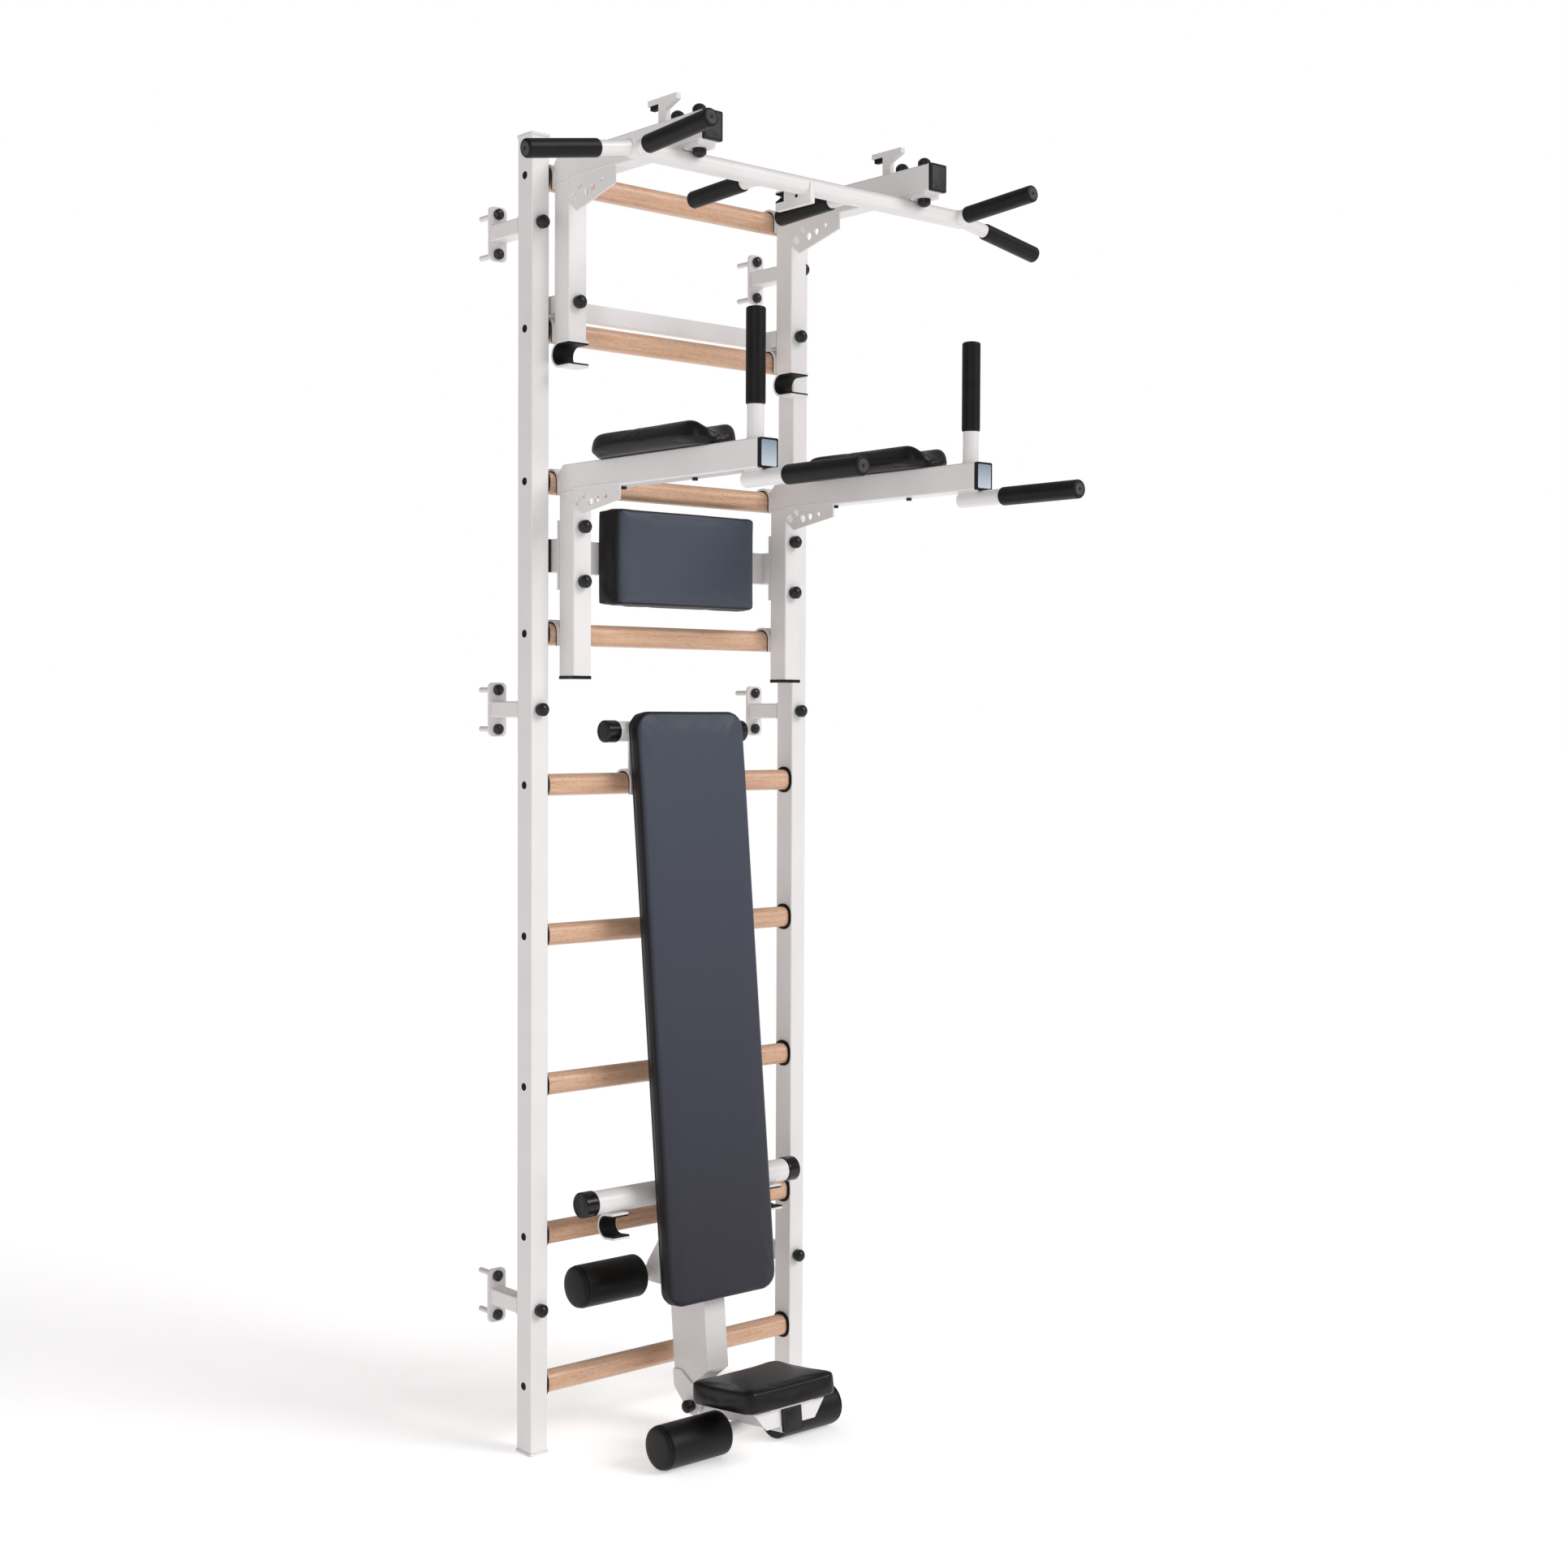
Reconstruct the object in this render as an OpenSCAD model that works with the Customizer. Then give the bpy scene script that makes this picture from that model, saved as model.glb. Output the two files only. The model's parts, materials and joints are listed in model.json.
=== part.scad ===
// Wall bars: a steel ladder with wooden rungs, a pull-up unit, a dip unit and a hanging bench.
// X runs along the rungs, Y points to the wall, Z is up and the floor is at zero.

/* [Wall frame] */
// Height of the frame over its end plugs
frame_h = 2400; // [2380:10:2500]
// Width of the frame over its two posts
frame_w = 670; // [650:5:720]
// Width of a post, along the rungs
post_w = 38; // [36:1:40]
// Depth of a post, towards the wall
post_d = 45; // [44:1:50]
// Wall of the post tube
post_wall = 2; // [1.5:0.5:3]
// Outer corner radius of every square tube
tube_corner = 3; // [2.5:0.5:3.5]
// Flange thickness of a plug in a post's end
plug_t = 5; // [3:1:8]
// How far a plug's flange stands proud of the post
plug_lip = 1.5; // [0.5:0.5:3]
// Length of a plug inside its tube
plug_in = 22; // [12:1:30]

/* [Rungs] */
// Height of the lowest rung's centre
rung_first_z = 125; // [120:1:140]
// Distance from the top rung's centre to the frame's top
rung_top_gap = 75; // [70:1:90]
// Depth of a rung, towards the wall
rung_d = 36; // [34:1:38]
// Height of a rung
rung_h = 40; // [38:1:42]
// Radius of a rung's four corners
rung_r = 16; // [8:1:16]
// Thickness of the collar round a rung's end
collar_t = 3; // [2:0.5:5]
// Width of the collar's rim
collar_rim = 3; // [2:0.5:4]
// Head radius of the screw in a rung's end
screw_head_r = 6; // [5:0.5:7]
// Shank radius of the screw in a rung's end
screw_r = 3; // [2.5:0.5:4]
// Length of the screw in the wood
screw_in = 40; // [25:5:60]

/* [Wall brackets] */
// Distance from the middle of the posts to the wall
wall_gap = 118; // [105:1:140]
// Height of the lower brackets above the lowest rung
bracket_low_up = 142; // [110:1:165]
// Distance from the upper brackets to the frame's top
bracket_top_gap = 160; // [140:1:190]
// Width of a bracket's wall plate
bracket_plate_w = 38; // [34:1:44]
// Height of a bracket's wall plate
bracket_plate_h = 100; // [96:1:120]
// Thickness of a bracket's plates
bracket_plate_t = 5; // [4:0.5:8]
// Side of the square tube between a bracket's plates
bracket_arm = 30; // [26:1:34]
// Distance between the two wall bolts of a bracket
wall_bolt_pitch = 73; // [66:1:76]
// Shank radius of a wall bolt
wall_bolt_r = 5; // [4:0.5:6]
// Length of a wall bolt behind the plate
wall_bolt_out = 50; // [30:5:80]
// Radius of the domed cap on a wall bolt
wall_cap_r = 10; // [8:1:12]
// Height of the domed cap on a wall bolt
wall_cap_h = 10; // [8:1:16]

/* [Hanging units] */
// Width of the square tubes of both hanging units
tube_w = 40; // [36:1:44]
// Depth of their uprights, towards the wall
tube_d = 45; // [40:1:50]
// Height of their arms
arm_h = 50; // [44:1:54]
// Wall of their tubes
tube_wall = 2; // [1.5:0.5:3]
// Thickness of a hook's steel strap
strap_t = 4.2; // [3:0.2:6]
// Thickness of the rubber lining in a hook
lining_t = 2.5; // [1.5:0.5:4]
// How far a hook's front leg reaches below the rung's middle
hook_front = 21; // [18:1:22]
// How far above the rung's middle a hook's rear leg ends
hook_rear = 4; // [2:1:8]
// Radius of the black hand knobs and bolt caps
knob_r = 12; // [9:1:14]
// Height of the hand knobs
knob_h = 16; // [12:1:20]
// Shank radius of the hand knobs and arm bolts
shank_r = 5; // [4:0.5:6]
// Radius of the dip unit's handle tubes
bar_r = 14; // [12:0.5:15]
// Wall of the handle tubes
bar_wall = 2; // [1.5:0.5:3]
// Radius of the dip unit's foam grips
grip_r = 16.5; // [16:0.5:19]
// Thickness of the closed end of a grip
grip_end = 4; // [3:1:6]
// Rounding of a grip's ends
grip_round = 4; // [2:1:6]
// Thickness of a tube's black end cap
cap_t = 6; // [4:1:8]
// Length of an end cap inside its tube
cap_in = 18; // [10:1:25]

/* [Pull-up unit] */
// Gap between a post and a pull-up upright
pull_gap = 9; // [5:1:14]
// How far the pull-up arms lie below the top rung's middle
pull_arm_drop = 13; // [10:1:20]
// How far the pull-up uprights reach below the second rung's middle
pull_foot_drop = 22; // [22:1:30]
// Reach of the pull-up arms in front of the uprights' back
pull_reach = 419; // [400:1:450]
// Chamfer on the arms' rear top corner
arm_chamfer = 12; // [6:1:18]
// Distance from the arm's front end to the pull-up bar
pull_bar_set = 60; // [50:1:80]
// Distance from the bar's middle to the underside of the arms
pull_bar_drop = 22; // [20:1:30]
// Radius of the pull-up bar's straight tube
main_r = 16; // [14:0.5:16]
// Radius of the pull-up unit's handle tubes
hold_r = 12.5; // [11:0.5:13.5]
// Radius of the pull-up unit's foam grips
hold_grip_r = 15.5; // [14.5:0.5:18]
// Distance from a pull-up arm to the bend of the pull-up bar
bend_out = 128; // [127:1:140]
// Downward angle of the pull-up bar's ends
bend_angle = 10; // [0:1:20]
// Distance along the bent end to the wide grip
wide_grip_from = 64; // [50:1:90]
// Length of a wide grip
wide_grip_l = 146; // [120:1:170]
// Distance from a pull-up arm to a neutral grip
neutral_out = 112; // [90:1:113]
// Upward angle of the neutral grips
neutral_angle = 4; // [0:1:8]
// Distance from the bar to a neutral grip
neutral_from = 31; // [20:1:50]
// Length of a neutral grip
neutral_l = 165; // [120:1:180]
// Distance from the middle to a close grip
close_x = 105; // [80:1:150]
// Distance from the bar to a close grip
close_from = 46; // [30:1:60]
// Downward angle of the close grips
close_angle = 2.5; // [0:0.5:5]
// Length of a close grip
close_l = 142; // [120:1:170]
// Half the distance between the two bolts of an arm
saddle_bolt = 29; // [26:1:34]
// Height of the pull-up crossbar
pull_cross_h = 32; // [26:1:40]
// Height of the pull-up crossbar above the second rung
pull_cross_up = 46; // [40:1:60]
// Depth of both crossbars
cross_d = 22; // [16:1:26]
// Height of a barbell cup's mouth
cup_mouth = 34; // [28:1:40]
// Depth of a barbell cup
cup_d = 54; // [48:1:60]
// Width of a barbell cup
cup_w = 44; // [28:1:44]
// How far a barbell cup reaches behind its upright
cup_back = 6; // [0:1:6]
// Steel thickness of a barbell cup
cup_t = 4; // [3:0.5:6]
// Rubber thickness in a barbell cup
cup_lining = 3; // [2:0.5:4]
// Height of a band hook's stem
band_stem_h = 38; // [24:1:44]
// Distance from the bar to a band hook on an arm
band_set = 66; // [60:1:90]
// Length of a band hook's head
band_head_l = 78; // [60:1:90]
// Thickness of a band hook's plate
band_t = 10; // [6:1:14]

/* [Dip unit] */
// Gap between a post and a dip upright
dip_gap = 21; // [5:1:26]
// How far the dip arms lie below their rung's middle
dip_arm_drop = 18; // [14:1:22]
// How far the dip uprights reach below the lower rung's middle
dip_foot_drop = 76; // [60:1:90]
// Reach of the dip arms in front of the uprights' back
dip_reach = 549; // [520:1:580]
// Distance from the arm's front end to the upright handle
stand_set = 28; // [22:1:40]
// Height from the arm to the upright grip
stand_from = 57; // [40:1:80]
// Length of an upright grip
stand_l = 160; // [120:1:180]
// Distance from the arm's front end back to the handle's rear end
forward_back = 50; // [40:1:100]
// Distance from the arm's front end to the forward grip
forward_from = 51; // [40:1:80]
// Length of a forward grip
forward_l = 177; // [120:1:190]
// Height of the dip crossbar
dip_cross_h = 60; // [50:1:70]
// Where the back pad lies between its two rungs, as a share of its free height
back_place_share = 0.61; // [0.3:0.01:0.7]
// Distance between the two knobs of a dip upright
dip_knob_pitch = 99; // [90:1:104]
// Thickness of the strips that clamp the dip crossbar
clamp_t = 6; // [4:1:8]
// Width of the back pad
back_w = 338; // [300:2:360]
// Height of the back pad
back_h = 176; // [160:1:178]
// Thickness of the back pad
back_t = 62; // [50:1:66]
// Length of an arm pad
arm_pad_l = 315; // [280:5:330]
// Width of an arm pad
arm_pad_w = 108; // [90:1:116]
// Height of an arm pad's rims
arm_pad_h = 46; // [34:1:50]
// Corner radius of an arm pad, seen from above
arm_pad_corner = 40; // [20:1:44]
// Depth of the trough along an arm pad
arm_pad_dip = 12; // [4:1:16]
// Distance from the uprights' front to an arm pad
arm_pad_from = 80; // [60:1:100]
// Distance from an arm pad's rear end to its first screw
pad_screw_in = 42; // [30:1:60]
// Distance between the two screws of an arm pad
pad_screw_pitch = 198; // [120:1:220]

/* [Bench] */
// Forward lean of the bench, foot first
bench_tilt = 5.6; // [5.4:0.1:5.8]
// Distance from the rungs' middle to the front of the bench pad's top
bench_off = 72; // [70:1:78]
// Height of the bench pad's top above its rung
bench_up = 134; // [120:1:135]
// Width of the bench pad
pad_w = 260; // [230:2:280]
// Length of the bench pad
pad_l = 1096; // [1000:2:1100]
// Thickness of the cushion on the bench board
pad_t = 32; // [24:1:32]
// Thickness of the bench board
board_t = 6; // [6:1:10]
// Width of the bench beam
beam_w = 50; // [44:1:54]
// Depth of the bench beam behind the pad
spine_d = 20; // [16:1:24]
// Depth of the bench beam at its foot
beam_d = 100; // [90:1:104]
// Distance from the pad's top to the deep part of the beam
deep_from = 867; // [855:1:872]
// Distance from the pad's foot down to the beam's foot
beam_below = 167; // [160:1:172]
// Radius of the upper cross tube
high_tube_r = 19; // [16:1:20]
// Distance from the pad's top to the upper cross tube
high_tube_s = 31; // [24:1:36]
// Length of the upper cross tube
high_tube_l = 336; // [320:2:380]
// Radius of the lower cross tube
low_tube_r = 22; // [18:1:23]
// Distance from the deep part's top to the lower cross tube
low_tube_in = 29; // [26:1:38]
// Gap between a post and the lower cross tube's end
low_tube_gap = 38; // [25:1:55]
// Length of a cap on a cross tube
tube_cap_l = 30; // [26:1:48]
// Distance from the middle to a bench hook
bench_hook_x = 90; // [90:1:110]
// Width of a bench hook
bench_hook_w = 40; // [30:1:44]
// Distance from the lower cross tube's end to a bench cup
bench_cup_in = 71; // [65:1:80]
// Width of a bench cup
bench_cup_w = 36; // [28:1:36]
// Depth of a bench cup
bench_cup_d = 48; // [40:1:56]

/* [Seat and rollers] */
// Length of the seat pad
seat_l = 174; // [150:1:176]
// Width of the seat pad
seat_w = 210; // [170:2:220]
// Thickness of the seat pad
seat_t = 36; // [28:1:38]
// Side of the square seat arm
seat_arm = 44; // [40:1:46]
// Distance from the hinge to the seat arm's front
seat_reach = 246; // [240:1:260]
// Distance from the beam's foot down to the hinge pin
pin_below = 39; // [37:1:42]
// Depth of the hinge pin behind the pad's front
pin_t = 85; // [80:1:90]
// Radius of the hinge pin
pin_r = 6; // [5:0.5:8]
// Length of the spacer between a hinge cheek and the pin's knob
pin_spacer = 7; // [3:1:10]
// Thickness of a hinge cheek
cheek_t = 4; // [3:0.5:5]
// Radius of the foam rollers
roller_r = 40; // [34:0.5:40.5]
// Length of a foam roller
roller_l = 140; // [120:1:142]
// Distance from the middle to a foam roller
roller_x = 64; // [60:1:70]
// Radius of the roller axles
axle_r = 12.5; // [10:0.5:13]
// Height of the upper roller axle between the two lowest rungs, as a share of their distance
high_axle_share = 0.573; // [0.5:0.001:0.6]
// Depth of the upper roller axle behind the pad's front
high_axle_t = 190; // [186:1:194]
// Distance from the hinge pin down to the lower roller axle
low_axle_below = 24; // [21:1:25]
// Distance of the lower roller axle in front of the pad's front
low_axle_t = 35; // [25:1:45]

/* [Hidden] */
$fn = 48;
steel_white = [0.90, 0.89, 0.88];
beech = [0.80, 0.56, 0.36];
black = [0.07, 0.07, 0.08];
leather = [0.16, 0.17, 0.20];
rung_count = 9;
top_index = 8;
pull_low_index = 7;
dip_index = 6;
dip_low_index = 5;
bench_index = 4;
corner_signs = [[1, 1], [-1, 1], [-1, -1], [1, -1]];
// Gap between a rung's end and the post's outer wall
rung_end_gap = 1;
// Gap between pieces that fit into each other
fit_gap = 0.2;
// Gap under a soft piece or round a rung
rest_gap = 0.3;
// Radial clearance of a part that turns
run_gap = 0.05;
// Overrun of every cut
cut = 1;
corner_steps = 4;
foam_fn = 48;
hook_x_over = 2;
washer_t = 3;
washer_over = 2;
nut_t = 8;
nut_r = 9;
dome_share = 0.45;
gusset_l = 134;
pull_gusset_h = 59;
pull_gusset_tip = 30;
dip_gusset_h = 42;
dip_gusset_tip = 24;
gusset_foot = 22;
gusset_rise = 18;
gusset_t = 4;
gusset_lap = 5;
gusset_hole_r = 7;
saddle_t = 7.5;
saddle_l = 96;
pad_head_r = 5;
pad_head_h = 5;
bolt_cap_h = 18;
nut_cap_h = 15;
band_stem_l = 20;
band_head_h = 10;
band_lining_l = 22;
band_lining_h = 8;
band_brace_h = 15;
eye_front = 18;
eye_rear = 75;
eye_top = 3;
eye_foot = 32;
slot_h = 18;
slot_l = 22;
slot_drop = 9;
peg_r = 3;
peg_rear = 19;
peg_drop = 14;
peg_over = 1;
board_in = 6;
board_r = 20;
pad_corner = 34;
pad_edge = 9;
pad_crown = 4;
pad_tuck = 5;
back_corner = 14;
back_edge = 16;
back_crown = 3;
seat_corner = 20;
seat_edge = 6;
seat_crown = 2;
seat_plate_t = 4;
seat_rear = 88;
bracket_rim = 3;
bracket_top_w = 168;
bracket_low_w = 116;
bracket_drop = 32;
arm_tail = 16;
cheek_above = 23;
beam_past_axle = 190;
cheek_front_t = 62;
cheek_nose_r = 19;
cheek_slope = 30;
link_t = 5;
link_eye_r = 18;
link_top = 88;
link_foot = 24;
collar_r = 18;
collar_l = 5;
cap_over = 2;
roller_round = 5;
arm_ramp = 44;
arm_skirt = 9;
arm_steps = 20;
arm_side_steps = 16;
arm_dome_index = 8;

rung_pitch = (frame_h - rung_top_gap - rung_first_z) / top_index;
rung_span = frame_w / 2 - post_wall - rung_end_gap;
post_x = frame_w / 2 - post_w / 2;
bracket_low_z = rung_first_z + bracket_low_up;
bracket_mid_z = (rung_z(bench_index) + rung_z(dip_low_index)) / 2;
bracket_high_z = frame_h - bracket_top_gap;
pull_x = frame_w / 2 - post_w - pull_gap - tube_w / 2;
dip_x = frame_w / 2 - post_w - dip_gap - tube_w / 2;
bend_x = pull_x + bend_out;
neutral_x = pull_x + neutral_out;
hook_layer = rest_gap + lining_t;
unit_back = rung_d / 2 + hook_layer + strap_t;
unit_front = unit_back + tube_d;
pull_arm_z = rung_z(top_index) - pull_arm_drop;
pull_foot_z = rung_z(pull_low_index) - pull_foot_drop;
pull_front = unit_back + pull_reach;
pull_bar_y = pull_front - pull_bar_set;
pull_bar_z = pull_arm_z - pull_bar_drop;
pull_cross_z = rung_z(pull_low_index) + pull_cross_up;
dip_arm_z = rung_z(dip_index) - dip_arm_drop;
dip_foot_z = rung_z(dip_low_index) - dip_foot_drop;
dip_front = unit_back + dip_reach;
dip_stand_y = dip_front - stand_set;
dip_bar_z = dip_arm_z - bar_r;
back_free = rung_pitch - rung_h - back_h;
dip_cross_z = rung_z(dip_low_index) + rung_h / 2 + back_place_share * back_free + back_h / 2;
bench_z = rung_z(bench_index) + bench_up;
pad_back = pad_t + board_t;
high_tube_t = pad_back + high_tube_r + rest_gap;
low_tube_t = pad_back + beam_d / 2;
low_tube_s = deep_from + low_tube_in;
low_tube_l = frame_w - 2 * (post_w + low_tube_gap);
bench_cup_x = low_tube_l / 2 - bench_cup_in;
high_axle_z = rung_first_z + high_axle_share * rung_pitch;
high_axle_down = bench_z - high_axle_z - high_axle_t * sin(bench_tilt);
high_axle_s = high_axle_down / cos(bench_tilt);
beam_end = max(pad_l + beam_below, high_axle_s + beam_past_axle);
pin_s = beam_end + pin_below;
low_axle_s = pin_s + low_axle_below;
cheek_rear_s = beam_end - cheek_above;
seat_arm_s = pin_s - bracket_rim * 2;
seat_top_s = seat_arm_s - seat_arm / 2 - seat_plate_t;
seat_front_t = seat_reach - pin_t;
roller_end = roller_x + roller_l;
box_front = dip_front + forward_from + forward_l;
box_back = wall_gap + wall_bolt_out;
box_mid = (box_back - box_front) / 2;

function rung_z(i) = rung_first_z + i * rung_pitch;

// Outline of a rectangle with round corners, as points
function round_outline(half_w, half_l, r) = [
  for (c = [0:3], i = [0:corner_steps])
    let (a = 90 * (c + i / corner_steps))
    let (side = corner_signs[c])
    [side[0] * (half_w - r) + r * cos(a), side[1] * (half_l - r) + r * sin(a)]
];

// Side of a cushion from its underside to its crown, as pairs of inset and height
function cushion_side(t, edge, crown, tuck, half) = concat(
  [[tuck, 0], [tuck / 4, t / 6], [0, t / 2]],
  [for (a = [0:30:90]) [edge * (1 - cos(a)), t - crown - edge * (1 - sin(a))]],
  [for (f = [1:3]) [edge + (half - edge) * f / 4, t - crown + crown * sin(90 * f / 3)]]
);

// Middle of a ring of points
function ring_mid(ring) = [for (k = [0:2]) sum_of(ring, k, len(ring) - 1) / len(ring)];
function sum_of(ring, k, i) = ring[i][k] + (i == 0 ? 0 : sum_of(ring, k, i - 1));

// Solid through a row of rings that have the same number of points
module loft(rings) {
  n = len(rings[0]);
  m = len(rings);
  points = concat([for (r = rings) each r], [ring_mid(rings[0]), ring_mid(rings[m - 1])]);
  skin = [
    for (j = [0:m - 2], i = [0:n - 1], k = [0:1])
      let (a = j * n + i)
      let (b = j * n + (i + 1) % n)
      k == 0 ? [a, b + n, b] : [a, a + n, b + n]
  ];
  low_cap = [for (i = [0:n - 1]) [m * n, i, (i + 1) % n]];
  high_cap = [for (i = [0:n - 1]) [m * n + 1, (m - 1) * n + (i + 1) % n, (m - 1) * n + i]];
  polyhedron(points, concat(skin, low_cap, high_cap));
}

// Upholstered pad with its back at zero and its crown up
module cushion(half_w, half_l, t, corner, edge, crown, tuck) {
  side = cushion_side(t, edge, crown, tuck, min(half_w, half_l));
  loft([
    for (p = side)
      let (r = max(corner - p[0], edge / 3))
      [for (q = round_outline(half_w - p[0], half_l - p[0], r)) [q[0], q[1], p[1]]]
  ]);
}

// Flat rectangle with true round corners
module round_rect(w, h, r) {
  square([w - 2 * r, h], center = true);
  square([w, h - 2 * r], center = true);
  for (sx = [-1, 1], sy = [-1, 1])
    translate([sx * (w / 2 - r), sy * (h / 2 - r)])
      circle(r);
}

module to_frame() {
  translate([0, -box_mid, 0])
    children();
}

// Stands a flat outline of depth and height up, with its thickness along X
module side_plate(t) {
  rotate([90, 0, 90])
    linear_extrude(height = t, center = true)
      children();
}

// Round rod along X about its own middle
module rod_x(r, l) {
  rotate([0, 90, 0])
    cylinder(r = r, h = l, center = true);
}

// Round rod that runs from the origin towards the wall
module rod_back(r, l) {
  rotate([-90, 0, 0])
    cylinder(r = r, h = l);
}

// Square tube standing on the origin
module tube(w, d, h, wall) {
  difference() {
    linear_extrude(height = h)
      round_rect(w, d, tube_corner);
    translate([-w / 2 + wall, -d / 2 + wall, -cut])
      cube([w - 2 * wall, d - 2 * wall, h + 2 * cut]);
  }
}

// Domed knob standing on the origin
module knob(r, h) {
  dome = h * dome_share;
  ball = (r * r + dome * dome) / (2 * dome);
  cylinder(r = r, h = h - dome);
  intersection() {
    translate([0, 0, h - ball])
      sphere(r = ball, $fn = 2 * foam_fn);
    translate([0, 0, h - dome])
      cylinder(r = r, h = dome);
  }
}

// Round body with rounded ends, standing on the origin
module round_end(r, l, e) {
  rotate_extrude() {
    square([r - e, l]);
    translate([0, e])
      square([r, l - 2 * e]);
    translate([r - e, e])
      circle(e);
    translate([r - e, l - e])
      circle(e);
  }
}

module grip(r, tube_r, l) {
  difference() {
    round_end(r, l, grip_round);
    translate([0, 0, -cut])
      cylinder(r = tube_r + fit_gap / 2, h = l - grip_end + cut);
  }
}

// Black cap in the end of a square tube, with its flange above the origin
module end_cap(w, d, wall, flange, inside, lip) {
  linear_extrude(height = flange)
    round_rect(w + 2 * lip, d + 2 * lip, tube_corner);
  translate([-w / 2 + wall + fit_gap, -d / 2 + wall + fit_gap, -inside])
    cube([w - 2 * (wall + fit_gap), d - 2 * (wall + fit_gap), inside]);
}

// One layer of a hook over a rung, from its inner to its outer offset
module hook_layer_at(i, inner, outer, w) {
  translate([0, 0, rung_z(i)])
    side_plate(w) {
      difference() {
        round_rect(rung_d + 2 * outer, rung_h + 2 * outer, rung_r + outer);
        round_rect(rung_d + 2 * inner, rung_h + 2 * inner, rung_r + inner);
        translate([-rung_d, -rung_h - rung_d])
          square([2 * rung_d, rung_h + rung_d]);
        translate([0, 0])
          square([rung_d, hook_rear]);
      }
      translate([-rung_d / 2 - outer, -hook_front])
        square([outer - inner, hook_front]);
    }
}

module unit_hooks(x, rungs) {
  for (sx = [-1, 1], i = rungs)
    translate([sx * x, 0, 0])
      hook_layer_at(i, hook_layer, hook_layer + strap_t, tube_w + 2 * hook_x_over);
}

module unit_linings(x, rungs) {
  for (sx = [-1, 1], i = rungs)
    translate([sx * x, 0, 0])
      hook_layer_at(i, rest_gap, hook_layer, tube_w + 2 * hook_x_over);
}

// Perforated gusset in the corner under an arm, flush with the arm's left side
module gusset(arm_z, h, tip, hole_shares) {
  outline = [
    [-unit_front, arm_z + gusset_lap],
    [-unit_front - gusset_l, arm_z + gusset_lap],
    [-unit_front - gusset_l, arm_z - tip],
    [-unit_front - gusset_foot, arm_z - h],
    [-unit_front, arm_z - h + gusset_rise]
  ];
  hole_size_shares = [1.15, 0.9, 1.05, 0.9, 0.65];
  translate([-tube_w / 2 + gusset_t / 2, 0, 0])
    side_plate(gusset_t)
      difference() {
        polygon(outline);
        for (k = [0:4])
          translate([-unit_front - gusset_l * hole_shares[k][0], arm_z - h * hole_shares[k][1]])
            circle(gusset_hole_r * hole_size_shares[k]);
      }
}

module upright(x, foot_z, head_z, knob_zs) {
  difference() {
    translate([x, -unit_back - tube_d / 2, foot_z])
      tube(tube_w, tube_d, head_z - foot_z, tube_wall);
    for (z = knob_zs)
      translate([x, -unit_front - cut, z])
        rod_back(shank_r + fit_gap, tube_d + 2 * cut);
  }
}

// Arm over its gusset; the outline gives the chamfered rear top corner
module arm(x, arm_z, reach, bolt_ys, hole_r) {
  front = unit_back + reach;
  translate([x, 0, 0])
    difference() {
      union() {
        difference() {
          intersection() {
            side_plate(tube_w)
              polygon([
                [-front, arm_z], [-unit_back, arm_z], [-unit_back, arm_z + arm_h - arm_chamfer],
                [-unit_back - arm_chamfer, arm_z + arm_h], [-front, arm_z + arm_h]
              ]);
            translate([0, 0, arm_z + arm_h / 2])
              rotate([90, 0, 0])
                linear_extrude(height = front + cut)
                  round_rect(tube_w, arm_h, tube_corner);
          }
          translate([-tube_w / 2 + tube_wall, -front - cut, arm_z + tube_wall])
            cube([tube_w - 2 * tube_wall, reach - arm_chamfer, arm_h - 2 * tube_wall]);
        }
        children();
      }
      for (y = bolt_ys)
        translate([0, -y, arm_z - cut])
          cylinder(r = hole_r, h = arm_h + 2 * cut);
    }
}

// Knob on the front of an upright, with its shank and nut
module upright_knob(x, z, back_t) {
  translate([x, -unit_front, z])
    rotate([90, 0, 0]) {
      cylinder(r = knob_r - washer_over, h = washer_t);
      translate([0, 0, washer_t])
        knob(knob_r, knob_h);
      translate([0, 0, -tube_d - back_t - nut_t])
        cylinder(r = shank_r, h = tube_d + back_t + nut_t);
      translate([0, 0, -tube_d - back_t - nut_t])
        cylinder(r = nut_r, h = nut_t, $fn = 6);
    }
}

// Posts

module post(sx) {
  color(steel_white)
    to_frame()
      difference() {
        translate([sx * post_x, 0, plug_t])
          tube(post_w, post_d, frame_h - 2 * plug_t, post_wall);
        for (i = [0:rung_count - 1])
          translate([0, 0, rung_z(i)]) {
            translate([sx * (post_x - post_w / 2), 0, 0])
              side_plate(4 * post_wall)
                round_rect(rung_d + 2 * rest_gap, rung_h + 2 * rest_gap, rung_r + rest_gap);
            translate([sx * frame_w / 2, 0, 0])
              rod_x(screw_head_r + fit_gap, 4 * post_wall);
          }
        for (z = [bracket_low_z, bracket_mid_z, bracket_high_z])
          translate([sx * post_x, -post_d / 2 - cut, z])
            rod_back(shank_r + fit_gap, post_d + 2 * cut);
      }
}

module left_post() post(-1);
module right_post() post(1);

module rung(i) {
  color(beech)
    to_frame()
      difference() {
        translate([0, 0, rung_z(i)])
          side_plate(2 * rung_span)
            round_rect(rung_d, rung_h, rung_r);
        for (sx = [-1, 1])
          translate([sx * rung_span, 0, rung_z(i)])
            rod_x(screw_r + fit_gap, 2 * (screw_in + cut));
      }
}

module rung_1() rung(0);
module rung_2() rung(1);
module rung_3() rung(2);
module rung_4() rung(3);
module rung_5() rung(4);
module rung_6() rung(5);
module rung_7() rung(6);
module rung_8() rung(7);
module rung_9() rung(8);

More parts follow.
